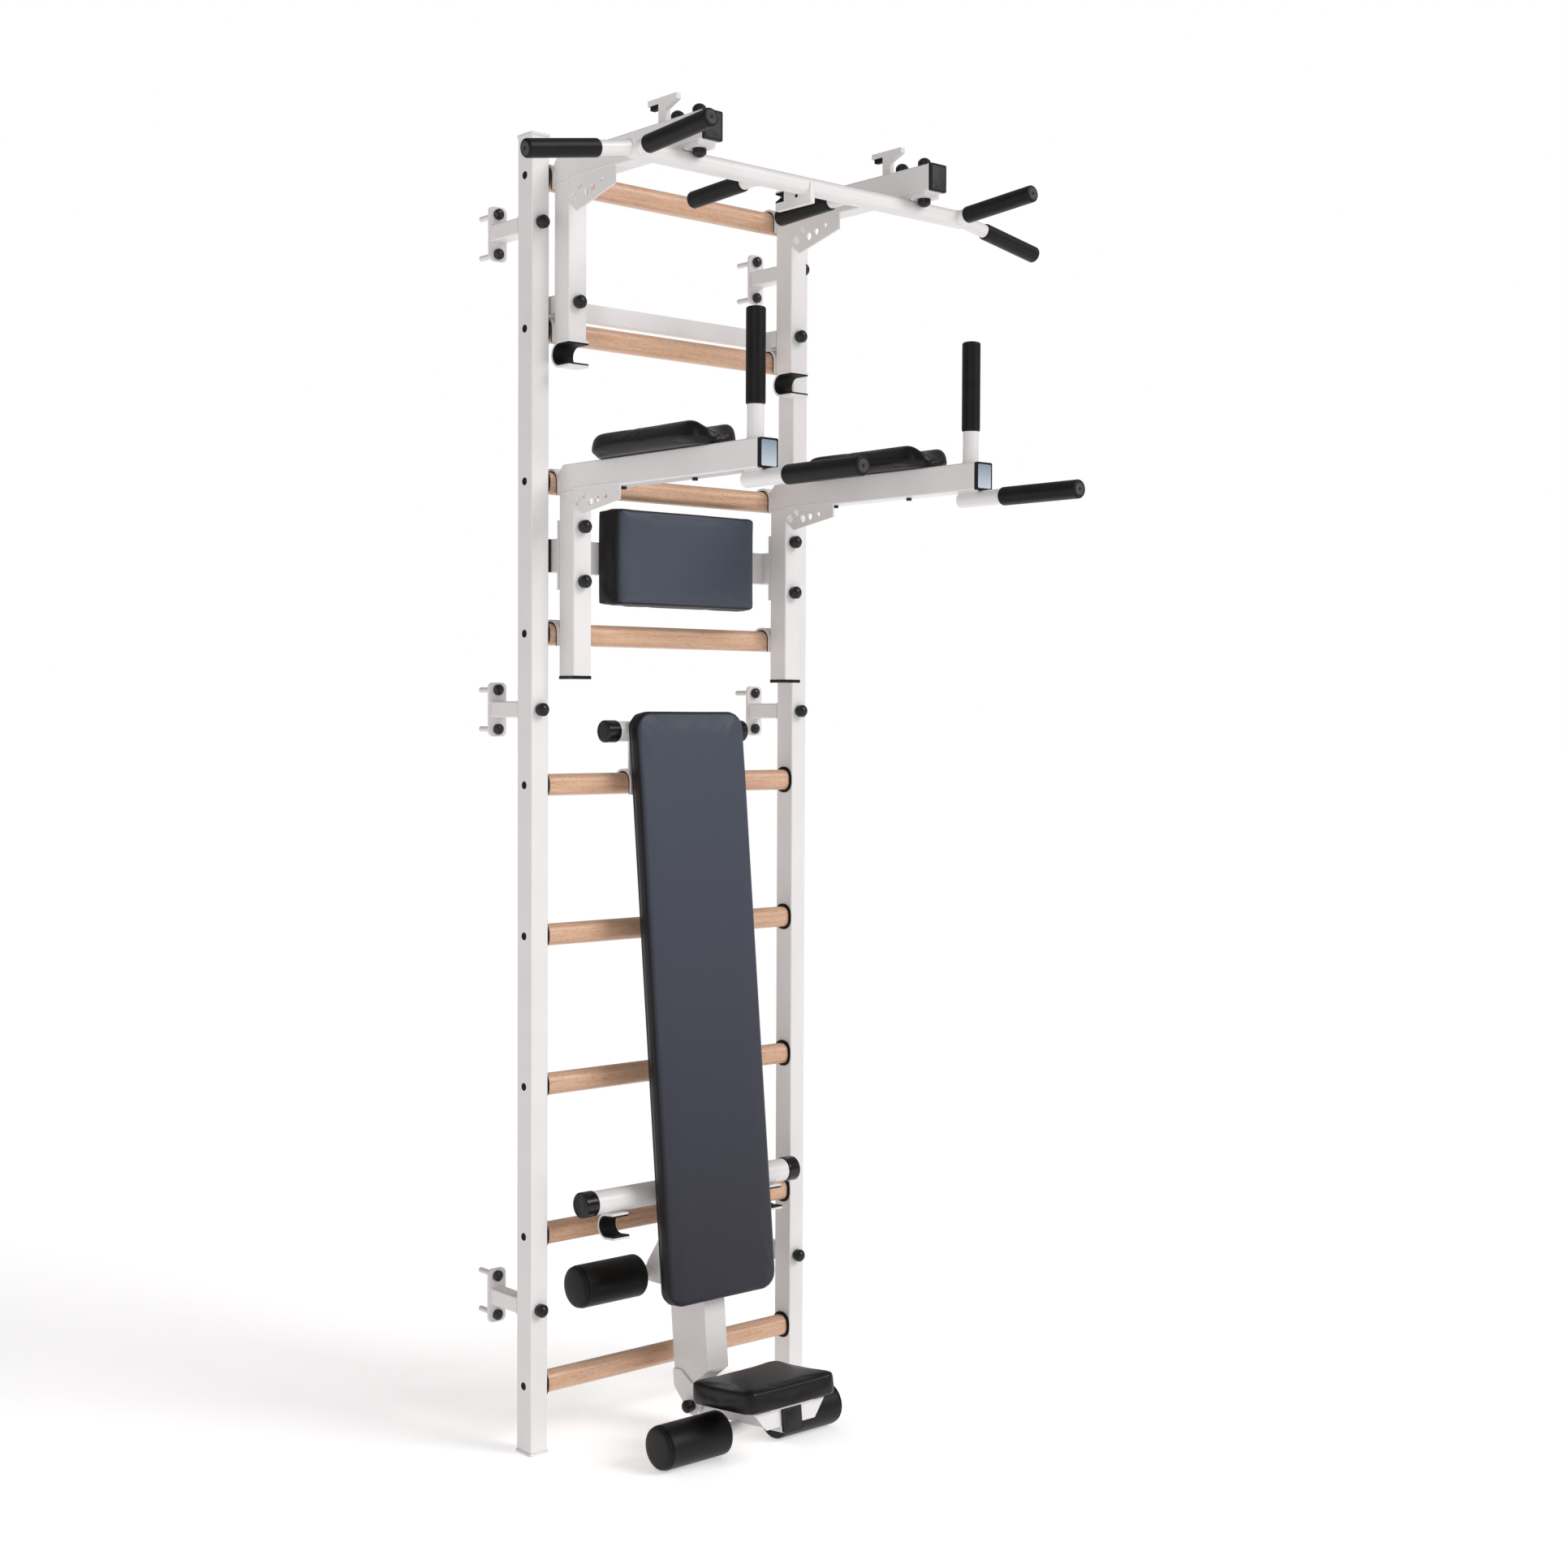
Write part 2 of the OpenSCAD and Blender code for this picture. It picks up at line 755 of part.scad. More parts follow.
module rung_collars() {
  color(black)
    to_frame()
      for (sx = [-1, 1], i = [0:rung_count - 1])
        translate([sx * (frame_w / 2 - post_w - collar_t / 2), 0, rung_z(i)])
          side_plate(collar_t)
            difference() {
              round_rect(rung_d + 2 * collar_rim, rung_h + 2 * collar_rim, rung_r + collar_rim);
              round_rect(rung_d + fit_gap, rung_h + fit_gap, rung_r + fit_gap / 2);
            }
}

module rung_screws() {
  head_l = frame_w / 2 - rung_span - fit_gap;
  color(black)
    to_frame()
      for (sx = [-1, 1], i = [0:rung_count - 1])
        translate([sx * rung_span, 0, rung_z(i)])
          rotate([0, sx * 90, 0]) {
            cylinder(r = screw_head_r, h = head_l);
            translate([0, 0, -screw_in])
              cylinder(r = screw_r, h = screw_in);
          }
}

module post_plugs() {
  color(steel_white)
    to_frame()
      for (sx = [-1, 1])
        translate([sx * post_x, 0, 0]) {
          translate([0, 0, frame_h - plug_t])
            end_cap(post_w, post_d, post_wall, plug_t, plug_in, plug_lip);
          translate([0, 0, plug_t])
            mirror([0, 0, 1])
              end_cap(post_w, post_d, post_wall, plug_t, plug_in, plug_lip);
        }
}

// Brackets between the posts and the wall

module wall_bracket(x, z) {
  back = post_d / 2;
  arm_l = wall_gap - back - 2 * bracket_plate_t;
  translate([x, 0, z]) {
    difference() {
      union() {
        translate([0, back + bracket_plate_t / 2, 0])
          rotate([90, 0, 0])
            linear_extrude(height = bracket_plate_t, center = true)
              square([bracket_arm, bracket_arm], center = true);
        translate([0, back + bracket_plate_t, 0])
          rotate([-90, 0, 0])
            tube(bracket_arm, bracket_arm, arm_l, post_wall);
      }
      translate([0, back - cut, 0])
        rod_back(shank_r + fit_gap, bracket_plate_t + 2 * cut);
    }
    translate([0, wall_gap - bracket_plate_t / 2, 0])
      rotate([90, 0, 0])
        linear_extrude(height = bracket_plate_t, center = true)
          difference() {
            round_rect(bracket_plate_w, bracket_plate_h, bracket_plate_w / 4);
            for (sz = [-1, 1])
              translate([0, sz * wall_bolt_pitch / 2])
                circle(wall_bolt_r + fit_gap);
          }
  }
}

module wall_brackets() {
  color(steel_white)
    to_frame()
      for (sx = [-1, 1], z = [bracket_low_z, bracket_mid_z, bracket_high_z])
        wall_bracket(sx * post_x, z);
}

module wall_bolts() {
  color(black)
    to_frame()
      for (sx = [-1, 1], z = [bracket_low_z, bracket_mid_z, bracket_high_z], sz = [-1, 1])
        translate([sx * post_x, wall_gap, z + sz * wall_bolt_pitch / 2])
          rotate([90, 0, 0]) {
            translate([0, 0, bracket_plate_t])
              knob(wall_cap_r, wall_cap_h);
            cylinder(r = wall_bolt_r - fit_gap, h = bracket_plate_t);
            translate([0, 0, -wall_bolt_out])
              cylinder(r = wall_bolt_r, h = wall_bolt_out);
          }
}

module bracket_bolts() {
  color(black)
    to_frame()
      for (sx = [-1, 1], z = [bracket_low_z, bracket_mid_z, bracket_high_z])
        translate([sx * post_x, -post_d / 2, z])
          rotate([90, 0, 0]) {
            cylinder(r = knob_r - washer_over, h = washer_t);
            translate([0, 0, washer_t])
              knob(knob_r, knob_h);
            translate([0, 0, -post_d - bracket_plate_t - nut_t])
              cylinder(r = shank_r, h = post_d + bracket_plate_t + nut_t);
            translate([0, 0, -post_d - bracket_plate_t - nut_t])
              cylinder(r = nut_r, h = nut_t, $fn = 6);
          }
}

// Pull-up unit

module pull_up_uprights() {
  color(steel_white)
    to_frame()
      for (sx = [-1, 1])
        upright(sx * pull_x, pull_foot_z, pull_arm_z, [pull_cross_z]);
}

pull_hole_shares = [[0.10, 0.56], [0.24, 0.28], [0.37, 0.52], [0.53, 0.42], [0.72, 0.28]];
pad_screw_y = unit_front + arm_pad_from + pad_screw_in;
pad_screws = [pad_screw_y, pad_screw_y + pad_screw_pitch];
dip_hole_shares = [[0.09, 0.47], [0.23, 0.23], [0.37, 0.52], [0.52, 0.46], [0.70, 0.38]];

module pull_up_arm(sx) {
  bolts = [pull_bar_y - saddle_bolt, pull_bar_y + saddle_bolt];
  arm(sx * pull_x, pull_arm_z, pull_reach, bolts, shank_r + fit_gap)
    gusset(pull_arm_z, pull_gusset_h, pull_gusset_tip, pull_hole_shares);
}

module dip_arm(sx) {
  arm(sx * dip_x, dip_arm_z, dip_reach, pad_screws, screw_r + fit_gap)
    gusset(dip_arm_z, dip_gusset_h, dip_gusset_tip, dip_hole_shares);
}

module pull_up_arm_left() {
  color(steel_white)
    to_frame()
      pull_up_arm(-1);
}

module pull_up_arm_right() {
  color(steel_white)
    to_frame()
      pull_up_arm(1);
}

module pull_up_hooks() {
  color(steel_white)
    to_frame()
      unit_hooks(pull_x, [top_index, pull_low_index]);
}

// C-shaped cup with its mouth to the front, seen as depth and height
module cup_outline(mouth, depth, t) {
  r = mouth / 2 + t;
  difference() {
    union() {
      translate([-r, 0])
        circle(r);
      translate([-depth, -r])
        square([depth - r, 2 * r]);
    }
    translate([-r, 0])
      circle(r - t);
    translate([-depth - cut, -r + t])
      square([depth - r + cut, 2 * (r - t)]);
  }
}

module barbell_cups() {
  r = cup_mouth / 2 + cup_lining + cup_t;
  color(steel_white)
    to_frame()
      for (sx = [-1, 1])
        translate([sx * pull_x, -unit_back + cup_back, pull_foot_z - r])
          side_plate(cup_w)
            cup_outline(cup_mouth + 2 * cup_lining, cup_d, cup_t);
}

module pull_up_linings() {
  r = cup_mouth / 2 + cup_lining + cup_t;
  color(black)
    to_frame() {
      unit_linings(pull_x, [top_index, pull_low_index]);
      for (sx = [-1, 1])
        translate([sx * pull_x, -unit_back + cup_back - cup_t, pull_foot_z - r])
          side_plate(cup_w)
            cup_outline(cup_mouth, cup_d - cup_t, cup_lining);
      for (sx = [-1, 1])
        translate([sx * pull_x, -pull_bar_y + band_set, pull_arm_z + arm_h + band_stem_h])
          translate([-band_t / 2, band_stem_l / 2, -band_lining_h])
            cube([band_t, band_lining_l, band_lining_h]);
      translate([0, -pull_bar_y + eye_rear, pull_bar_z - slot_drop])
        side_plate(band_t)
          difference() {
            translate([-slot_l, -slot_h / 2])
              square([slot_l, slot_h]);
            polygon([
              [cut, slot_h / 2 - lining_t], [-slot_l + 2 * lining_t, 0], [cut, -slot_h / 2 + lining_t]
            ]);
          }
      translate([0, -pull_bar_y + peg_rear, pull_bar_z - peg_drop])
        rod_x(peg_r, band_t + 2 * peg_over);
    }
}

module pull_up_crossbar() {
  color(steel_white)
    to_frame() {
      translate([-pull_x - tube_w / 2, 0, pull_cross_z - pull_cross_h / 2])
        cube([2 * pull_x + tube_w, cross_d, pull_cross_h]);
      for (sx = [-1, 1])
        difference() {
          translate([sx * pull_x - tube_w / 2, -unit_back, pull_cross_z - pull_cross_h / 2])
            cube([tube_w, unit_back, pull_cross_h]);
          translate([sx * pull_x, -unit_back - cut, pull_cross_z])
            rod_back(nut_r + fit_gap, unit_back + cut - clamp_t / 2);
        }
    }
}

// The pull-up bar's bent tube, thinner by a wall and with its ends longer by an overrun
module bar_run(wall, over) {
  translate([0, -pull_bar_y, pull_bar_z]) {
    rod_x(main_r - wall, 2 * (bend_x - wall));
    rod_x(hold_r - wall, 2 * bend_x);
    for (sx = [-1, 1])
      translate([sx * bend_x, 0, 0]) {
        sphere(r = hold_r - wall);
        rotate([0, sx * (90 + bend_angle), 0])
          cylinder(r = hold_r - wall, h = wide_grip_from + wide_grip_l - grip_end - fit_gap + over);
      }
  }
}

// The handle tubes welded to the pull-up bar, at one radius
module handle_run(r, over) {
  translate([0, -pull_bar_y, pull_bar_z])
    for (sx = [-1, 1]) {
      translate([sx * neutral_x, 0, 0])
        rotate([90 - neutral_angle, 0, 0])
          cylinder(r = r, h = neutral_from + neutral_l - grip_end - fit_gap + over);
      translate([sx * close_x, 0, 0])
        rotate([-90 - close_angle, 0, 0])
          cylinder(r = r, h = close_from + close_l - grip_end - fit_gap + over);
    }
}

module pull_up_bar() {
  color(steel_white)
    to_frame()
      difference() {
        union() {
          bar_run(0, 0);
          for (sx = [-1, 1])
            translate([sx * pull_x - tube_w / 2, -pull_bar_y - saddle_l / 2, pull_arm_z - saddle_t])
              cube([tube_w, saddle_l, saddle_t]);
        }
        bar_run(bar_wall, cut);
        for (sx = [-1, 1], sy = [-1, 1])
          translate([sx * pull_x, -pull_bar_y + sy * saddle_bolt, pull_arm_z - saddle_t - cut])
            cylinder(r = shank_r + fit_gap, h = saddle_t + 2 * cut);
      }
}

module pull_up_handles() {
  color(steel_white)
    to_frame()
      difference() {
        handle_run(hold_r, 0);
        handle_run(hold_r - bar_wall, cut);
        translate([0, -pull_bar_y, pull_bar_z])
          rod_x(main_r + fit_gap / 2, 2 * bend_x);
      }
}

module pull_up_grips() {
  color(black)
    to_frame()
      translate([0, -pull_bar_y, pull_bar_z])
        for (sx = [-1, 1]) {
          translate([sx * bend_x, 0, 0])
            rotate([0, sx * (90 + bend_angle), 0])
              translate([0, 0, wide_grip_from])
                grip(hold_grip_r, hold_r, wide_grip_l);
          translate([sx * neutral_x, 0, 0])
            rotate([90 - neutral_angle, 0, 0])
              translate([0, 0, neutral_from])
                grip(hold_grip_r, hold_r, neutral_l);
          translate([sx * close_x, 0, 0])
            rotate([-90 - close_angle, 0, 0])
              translate([0, 0, close_from])
                grip(hold_grip_r, hold_r, close_l);
        }
}

module pull_up_bolts() {
  color(black)
    to_frame() {
      for (sx = [-1, 1], sy = [-1, 1])
        translate([sx * pull_x, -pull_bar_y + sy * saddle_bolt, pull_arm_z]) {
          translate([0, 0, arm_h])
            knob(knob_r, bolt_cap_h);
          translate([0, 0, -saddle_t])
            cylinder(r = shank_r, h = saddle_t + arm_h);
          translate([0, 0, -saddle_t])
            mirror([0, 0, 1])
              knob(knob_r, nut_cap_h);
        }
      for (sx = [-1, 1])
        upright_knob(sx * pull_x, pull_cross_z, 0);
    }
}

// Band hook that stands on an arm, seen as depth and height
module band_hook_outline() {
  square([band_stem_l, 2 * band_stem_h], center = true);
  translate([-band_head_l / 2, band_stem_h])
    square([band_head_l, band_head_h]);
  polygon([
    [0, band_stem_h + band_head_h], [-band_head_l / 2, band_stem_h + band_head_h],
    [-band_head_l / 2, band_stem_h], [0, band_stem_h - band_brace_h]
  ]);
}

module band_hooks() {
  color(steel_white)
    to_frame() {
      for (sx = [-1, 1])
        translate([sx * pull_x, -pull_bar_y + band_set, pull_arm_z + arm_h])
          side_plate(band_t)
            difference() {
              band_hook_outline();
              translate([-band_head_l, -2 * band_stem_h])
                square([2 * band_head_l, 2 * band_stem_h]);
            }
      translate([0, -pull_bar_y, pull_bar_z])
        side_plate(band_t)
          difference() {
            translate([-eye_front, -eye_foot])
              square([eye_front + eye_rear, eye_foot + eye_top]);
            circle(main_r + fit_gap / 2);
            translate([eye_rear - slot_l, -slot_drop - slot_h / 2])
              square([slot_l + cut, slot_h]);
            translate([peg_rear, -peg_drop])
              circle(peg_r + fit_gap / 2);
          }
    }
}

module pull_up_end_caps() {
  color(black)
    to_frame() {
      for (sx = [-1, 1]) {
        translate([sx * pull_x, -pull_front, pull_arm_z + arm_h / 2])
          rotate([90, 0, 0])
            end_cap(tube_w, arm_h, tube_wall, cap_t, cap_in, 0);
        translate([sx * (pull_x + tube_w / 2), 0, pull_cross_z - pull_cross_h / 2])
          mirror([sx < 0 ? 1 : 0, 0, 0])
            cube([washer_t, cross_d, pull_cross_h]);
      }
    }
}

// Dip unit

dip_knobs = [dip_cross_z - dip_knob_pitch / 2, dip_cross_z + dip_knob_pitch / 2];

module dip_uprights() {
  color(steel_white)
    to_frame()
      for (sx = [-1, 1])
        upright(sx * dip_x, dip_foot_z, dip_arm_z, dip_knobs);
}

module dip_arm_left() {
  color(steel_white)
    to_frame()
      dip_arm(-1);
}

module dip_arm_right() {
  color(steel_white)
    to_frame()
      dip_arm(1);
}

module dip_hooks() {
  color(steel_white)
    to_frame()
      unit_hooks(dip_x, [dip_index, dip_low_index]);
}

module dip_linings() {
  color(black)
    to_frame()
      unit_linings(dip_x, [dip_index, dip_low_index]);
}

module dip_crossbar() {
  strip_h = dip_knob_pitch + 3 * nut_r;
  color(steel_white)
    to_frame() {
      translate([-dip_x - tube_w / 2, 0, dip_cross_z - dip_cross_h / 2])
        cube([2 * dip_x + tube_w, cross_d, dip_cross_h]);
      for (sx = [-1, 1]) {
        difference() {
          translate([sx * dip_x - tube_w / 2, -unit_back, dip_cross_z - strip_h / 2])
            cube([tube_w, clamp_t, strip_h]);
          for (z = dip_knobs)
            translate([sx * dip_x, -unit_back - cut, z])
              rod_back(shank_r + fit_gap, clamp_t + 2 * cut);
        }
        translate([sx * dip_x - tube_w / 2, -unit_back + clamp_t, dip_cross_z - dip_cross_h / 2])
          cube([tube_w, unit_back - clamp_t, dip_cross_h]);
      }
    }
}

module dip_back_pad() {
  color(leather)
    to_frame()
      translate([0, -rest_gap, dip_cross_z])
        rotate([90, 0, 0])
          cushion(back_w / 2, back_h / 2, back_t, back_corner, back_edge, back_crown, pad_tuck);
}

// One cross section of an arm pad at a share of its length
function arm_pad_ring(v) =
  let (from_end = min(v, 1 - v) * arm_pad_l)
  let (ramp = sin(90 * min(1, (from_end + arm_skirt) / arm_ramp)))
  let (into = arm_pad_corner - min(from_end, arm_pad_corner))
  let (curve = sqrt(arm_pad_corner * arm_pad_corner - into * into))
  let (half = arm_pad_w / 2 - arm_pad_corner + curve)
  let (rise = (arm_pad_h - arm_skirt) * ramp)
  concat(
    [[half - pad_tuck, v * arm_pad_l, 0]],
    [
      for (i = [0:arm_side_steps])
        let (u = 1 - 2 * i / arm_side_steps)
        let (dome = sqrt(1 - pow(u, arm_dome_index)))
        let (trough = arm_pad_dip * ramp * pow(cos(90 * u), 2))
        [half * u, v * arm_pad_l, arm_skirt + rise * dome - trough]
    ],
    [[-half + pad_tuck, v * arm_pad_l, 0]]
  );

module dip_arm_pad(sx) {
  color(leather)
    to_frame()
      translate([sx * dip_x, -unit_front - arm_pad_from - arm_pad_l, dip_arm_z + arm_h + rest_gap])
        loft([for (j = [0:arm_steps]) arm_pad_ring((1 - cos(180 * j / arm_steps)) / 2)]);
}

module dip_arm_pad_left() dip_arm_pad(-1);
module dip_arm_pad_right() dip_arm_pad(1);

module dip_handles() {
  color(steel_white)
    to_frame()
      for (sx = [-1, 1]) {
        translate([sx * dip_x, -dip_stand_y, dip_arm_z + arm_h])
          difference() {
            cylinder(r = bar_r, h = stand_from + stand_l - grip_end);
            translate([0, 0, bar_wall])
              cylinder(r = bar_r - bar_wall, h = stand_from + stand_l);
          }
        translate([sx * dip_x, -dip_front - forward_from - forward_l + grip_end, dip_bar_z])
          difference() {
            rod_back(bar_r, forward_back + forward_from + forward_l - grip_end);
            translate([0, -cut, 0])
              rod_back(bar_r - bar_wall, forward_back + forward_from + forward_l + cut);
          }
      }
}

module dip_grips() {
  color(black)
    to_frame()
      for (sx = [-1, 1]) {
        translate([sx * dip_x, -dip_stand_y, dip_arm_z + arm_h + stand_from])
          grip(grip_r, bar_r, stand_l);
        translate([sx * dip_x, -dip_front - forward_from, dip_bar_z])
          rotate([90, 0, 0])
            grip(grip_r, bar_r, forward_l);
      }
}

module dip_bolts() {
  color(black)
    to_frame() {
      for (sx = [-1, 1], z = dip_knobs)
        upright_knob(sx * dip_x, z, clamp_t);
      for (sx = [-1, 1], y = pad_screws)
        translate([sx * dip_x, -y, dip_arm_z]) {
          cylinder(r = screw_r, h = arm_h);
          mirror([0, 0, 1])
            cylinder(r = pad_head_r, h = pad_head_h);
        }
    }
}

module dip_end_caps() {
  plug_r = bar_r - bar_wall - fit_gap;
  color(black)
    to_frame()
      for (sx = [-1, 1]) {
        translate([sx * dip_x, -dip_front, dip_arm_z + arm_h / 2])
          rotate([90, 0, 0])
            end_cap(tube_w, arm_h, tube_wall, cap_t, cap_in, 0);
        translate([sx * dip_x, -unit_back - tube_d / 2, dip_foot_z])
          mirror([0, 0, 1])
            end_cap(tube_w, tube_d, tube_wall, cap_t, cap_in, plug_lip / 2);
        translate([sx * (dip_x + tube_w / 2), 0, dip_cross_z - dip_cross_h / 2])
          mirror([sx < 0 ? 1 : 0, 0, 0])
            cube([washer_t, cross_d, dip_cross_h]);
        translate([sx * dip_x, -dip_front + forward_back - cap_in, dip_bar_z])
          rod_back(plug_r, cap_in);
      }
}

// Bench, in its own leaning frame: Z is measured down its pad and Y behind the pad's front

module to_bench() {
  to_frame()
    translate([0, -bench_off, bench_z])
      rotate([-bench_tilt, 0, 0])
        children();
}

module bench_pad() {
  color(leather)
    to_bench()
      translate([0, pad_t, -pad_l / 2])
        rotate([90, 0, 0])
          cushion(pad_w / 2, pad_l / 2, pad_t, pad_corner, pad_edge, pad_crown, pad_tuck);
}

module bench_board() {
  color(black)
    to_bench()
      translate([0, pad_t + rest_gap, -pad_l / 2])
        rotate([-90, 0, 0])
          linear_extrude(height = board_t - rest_gap)
            round_rect(pad_w - 2 * board_in, pad_l - 2 * board_in, board_r);
}

module bench_beam() {
  color(steel_white)
    to_bench() {
      difference() {
        translate([-beam_w / 2, pad_back, -deep_from])
          cube([beam_w, spine_d, deep_from - high_tube_s]);
        translate([0, high_tube_t, -high_tube_s])
          rod_x(high_tube_r + fit_gap / 2, beam_w + 2 * cut);
      }
      difference() {
        side_plate(beam_w)
          polygon([
            [pad_back, -deep_from], [pad_back + beam_d, -deep_from], [pad_back + beam_d, -beam_end],
            [pin_t, -beam_end], [pad_back, -beam_end + cheek_slope]
          ]);
        side_plate(beam_w - 2 * tube_wall)
          polygon([
            [pad_back + tube_wall, -deep_from - tube_wall],
            [pad_back + beam_d - tube_wall, -deep_from - tube_wall],
            [pad_back + beam_d - tube_wall, -beam_end - cut], [pin_t, -beam_end - cut],
            [pad_back + tube_wall, -beam_end + cheek_slope - cut]
          ]);
        translate([0, low_tube_t, -low_tube_s])
          rod_x(low_tube_r + fit_gap / 2, beam_w + 2 * cut);
      }
      hinge_cheeks();
      roller_links();
    }
}

// The two cheeks that hold the seat's hinge pin
module hinge_cheeks() {
  for (sx = [-1, 1])
    translate([sx * (beam_w / 2 + cheek_t / 2), 0, 0])
      side_plate(cheek_t)
        difference() {
          union() {
            polygon([
              [pad_back + beam_d, -cheek_rear_s], [pin_t + cheek_slope, -cheek_rear_s],
              [cheek_front_t, -pin_s + cheek_nose_r + pin_r], [cheek_front_t, -pin_s - pin_r],
              [pin_t + cheek_nose_r / 2, -pin_s - cheek_nose_r],
              [pad_back + beam_d, -pin_s + cheek_slope]
            ]);
            translate([pin_t, -pin_s])
              circle(cheek_nose_r);
          }
          translate([pin_t, -pin_s])
            circle(pin_r + run_gap);
        }
}

// The two plates that carry the upper roller axle behind the beam
module roller_links() {
  rear = pad_back + beam_d;
  for (sx = [-1, 1])
    translate([sx * (beam_w / 2 + link_t / 2), 0, 0])
      side_plate(link_t)
        difference() {
          union() {
            polygon([
              [rear - link_foot, -high_axle_s + link_top], [rear, -high_axle_s + link_top],
              [high_axle_t + link_eye_r / 2, -high_axle_s + link_eye_r],
              [high_axle_t, -high_axle_s - link_eye_r], [rear - link_foot, -high_axle_s - link_foot]
            ]);
            translate([high_axle_t, -high_axle_s])
              circle(link_eye_r);
          }
          translate([high_axle_t, -high_axle_s])
            circle(axle_r + fit_gap / 2);
        }
}

module bench_cross_tubes() {
  color(steel_white)
    to_bench() {
      translate([0, high_tube_t, -high_tube_s])
        difference() {
          rod_x(high_tube_r, high_tube_l);
          rod_x(high_tube_r - tube_wall, high_tube_l + 2 * cut);
        }
      translate([0, low_tube_t, -low_tube_s])
        difference() {
          rod_x(low_tube_r, low_tube_l);
          rod_x(low_tube_r - tube_wall, low_tube_l + 2 * cut);
        }
    }
}

module bench_tube_caps() {
  color(black)
    to_bench()
      for (sx = [-1, 1]) {
        translate([sx * (high_tube_l / 2 - tube_cap_l + cap_over), high_tube_t, -high_tube_s])
          tube_cap(sx, high_tube_r);
        translate([sx * (low_tube_l / 2 - tube_cap_l + cap_over), low_tube_t, -low_tube_s])
          tube_cap(sx, low_tube_r);
      }
}

// Sleeve with a closed rounded end that slips over a round tube
module tube_cap(sx, r) {
  rotate([0, sx * 90, 0])
    difference() {
      round_end(r + cap_over, tube_cap_l, cap_over * 2);
      translate([0, 0, -cut])
        cylinder(r = r + fit_gap / 2, h = tube_cap_l - cap_over + cut);
    }
}

// Place of the upper cross tube in the upright frame
high_tube_y = -bench_off - high_tube_s * sin(bench_tilt) + high_tube_t * cos(bench_tilt);
high_tube_z = bench_z - high_tube_s * cos(bench_tilt) - high_tube_t * sin(bench_tilt);

module bench_hooks() {
  web_z = rung_z(bench_index) + rung_r;
  color(steel_white) {
    to_frame()
      for (sx = [-1, 1])
        translate([sx * bench_hook_x, 0, 0]) {
          hook_layer_at(bench_index, hook_layer, hook_layer + strap_t, bench_hook_w);
          difference() {
            translate([-bench_hook_w / 2, high_tube_y - strap_t / 2, web_z])
              cube([bench_hook_w, strap_t, high_tube_z - web_z]);
            translate([0, high_tube_y, high_tube_z])
              rod_x(high_tube_r + fit_gap / 2, bench_hook_w + 2 * cut);
            translate([0, 0, rung_z(bench_index)])
              side_plate(bench_hook_w + 2 * cut)
                round_rect(rung_d + 2 * hook_layer, rung_h + 2 * hook_layer, rung_r + hook_layer);
          }
        }
    to_bench()
      for (sx = [-1, 1])
        translate([sx * bench_cup_x, low_tube_t + bench_cup_d / 2, bench_cup_mid])
          side_plate(bench_cup_w)
            cup_outline(cup_mouth + 2 * cup_lining, bench_cup_d, cup_t);
  }
}

bench_cup_mid = -low_tube_s - low_tube_r - cup_mouth / 2 - cup_lining - cup_t - fit_gap / 2;

module bench_linings() {
  color(black) {
    to_frame()
      for (sx = [-1, 1])
        translate([sx * bench_hook_x, 0, 0])
          hook_layer_at(bench_index, rest_gap, hook_layer, bench_hook_w);
    to_bench()
      for (sx = [-1, 1])
        translate([sx * bench_cup_x, low_tube_t + bench_cup_d / 2 - cup_t, bench_cup_mid])
          side_plate(bench_cup_w)
            cup_outline(cup_mouth, bench_cup_d - cup_t, cup_lining);
  }
}

// Axle with the collars that keep its rollers in place
module roller_axle() {
  difference() {
    union() {
      rod_x(axle_r, 2 * (roller_end + rest_gap + collar_l));
      for (sx = [-1, 1]) {
        translate([sx * (roller_end + rest_gap + collar_l / 2), 0, 0])
          rod_x(collar_r, collar_l);
        translate([sx * (roller_x - rest_gap - collar_l / 2), 0, 0])
          rod_x(collar_r, collar_l);
      }
    }
    rod_x(axle_r - tube_wall, 2 * (roller_end - collar_l));
  }
}

module foam_roller() {
  rotate([0, 90, 0])
    difference() {
      round_end(roller_r, roller_l, roller_round);
      translate([0, 0, -cut])
        cylinder(r = axle_r + run_gap, h = roller_l + 2 * cut);
    }
}

module bench_roller_axle() {
  color(steel_white)
    to_bench()
      translate([0, high_axle_t, -high_axle_s])
        roller_axle();
}

module upper_roller(sx) {
  color(black)
    to_bench()
      translate([sx < 0 ? -roller_end : roller_x, high_axle_t, -high_axle_s])
        foam_roller();
}

module upper_roller_left() upper_roller(-1);
module upper_roller_right() upper_roller(1);

module hinge_pin() {
  half = beam_w / 2 + cheek_t;
  color(black)
    to_bench()
      translate([-half, pin_t, -pin_s])
        rotate([0, 90, 0]) {
          cylinder(r = pin_r, h = 2 * half);
          mirror([0, 0, 1])
            cylinder(r = nut_r, h = pin_spacer);
          translate([0, 0, -pin_spacer])
            mirror([0, 0, 1])
              knob(knob_r, knob_h);
          translate([0, 0, 2 * half])
            knob(nut_r + washer_over, nut_t);
        }
}

// Seat that hinges at the bench's foot

module seat_pad() {
  color(leather)
    to_bench()
      translate([0, seat_mid_t, -seat_top_s + rest_gap])
        cushion(seat_w / 2, seat_l / 2, seat_t, seat_corner, seat_edge, seat_crown, pad_tuck);
}

seat_mid_t = pin_t - seat_rear - seat_l / 2;

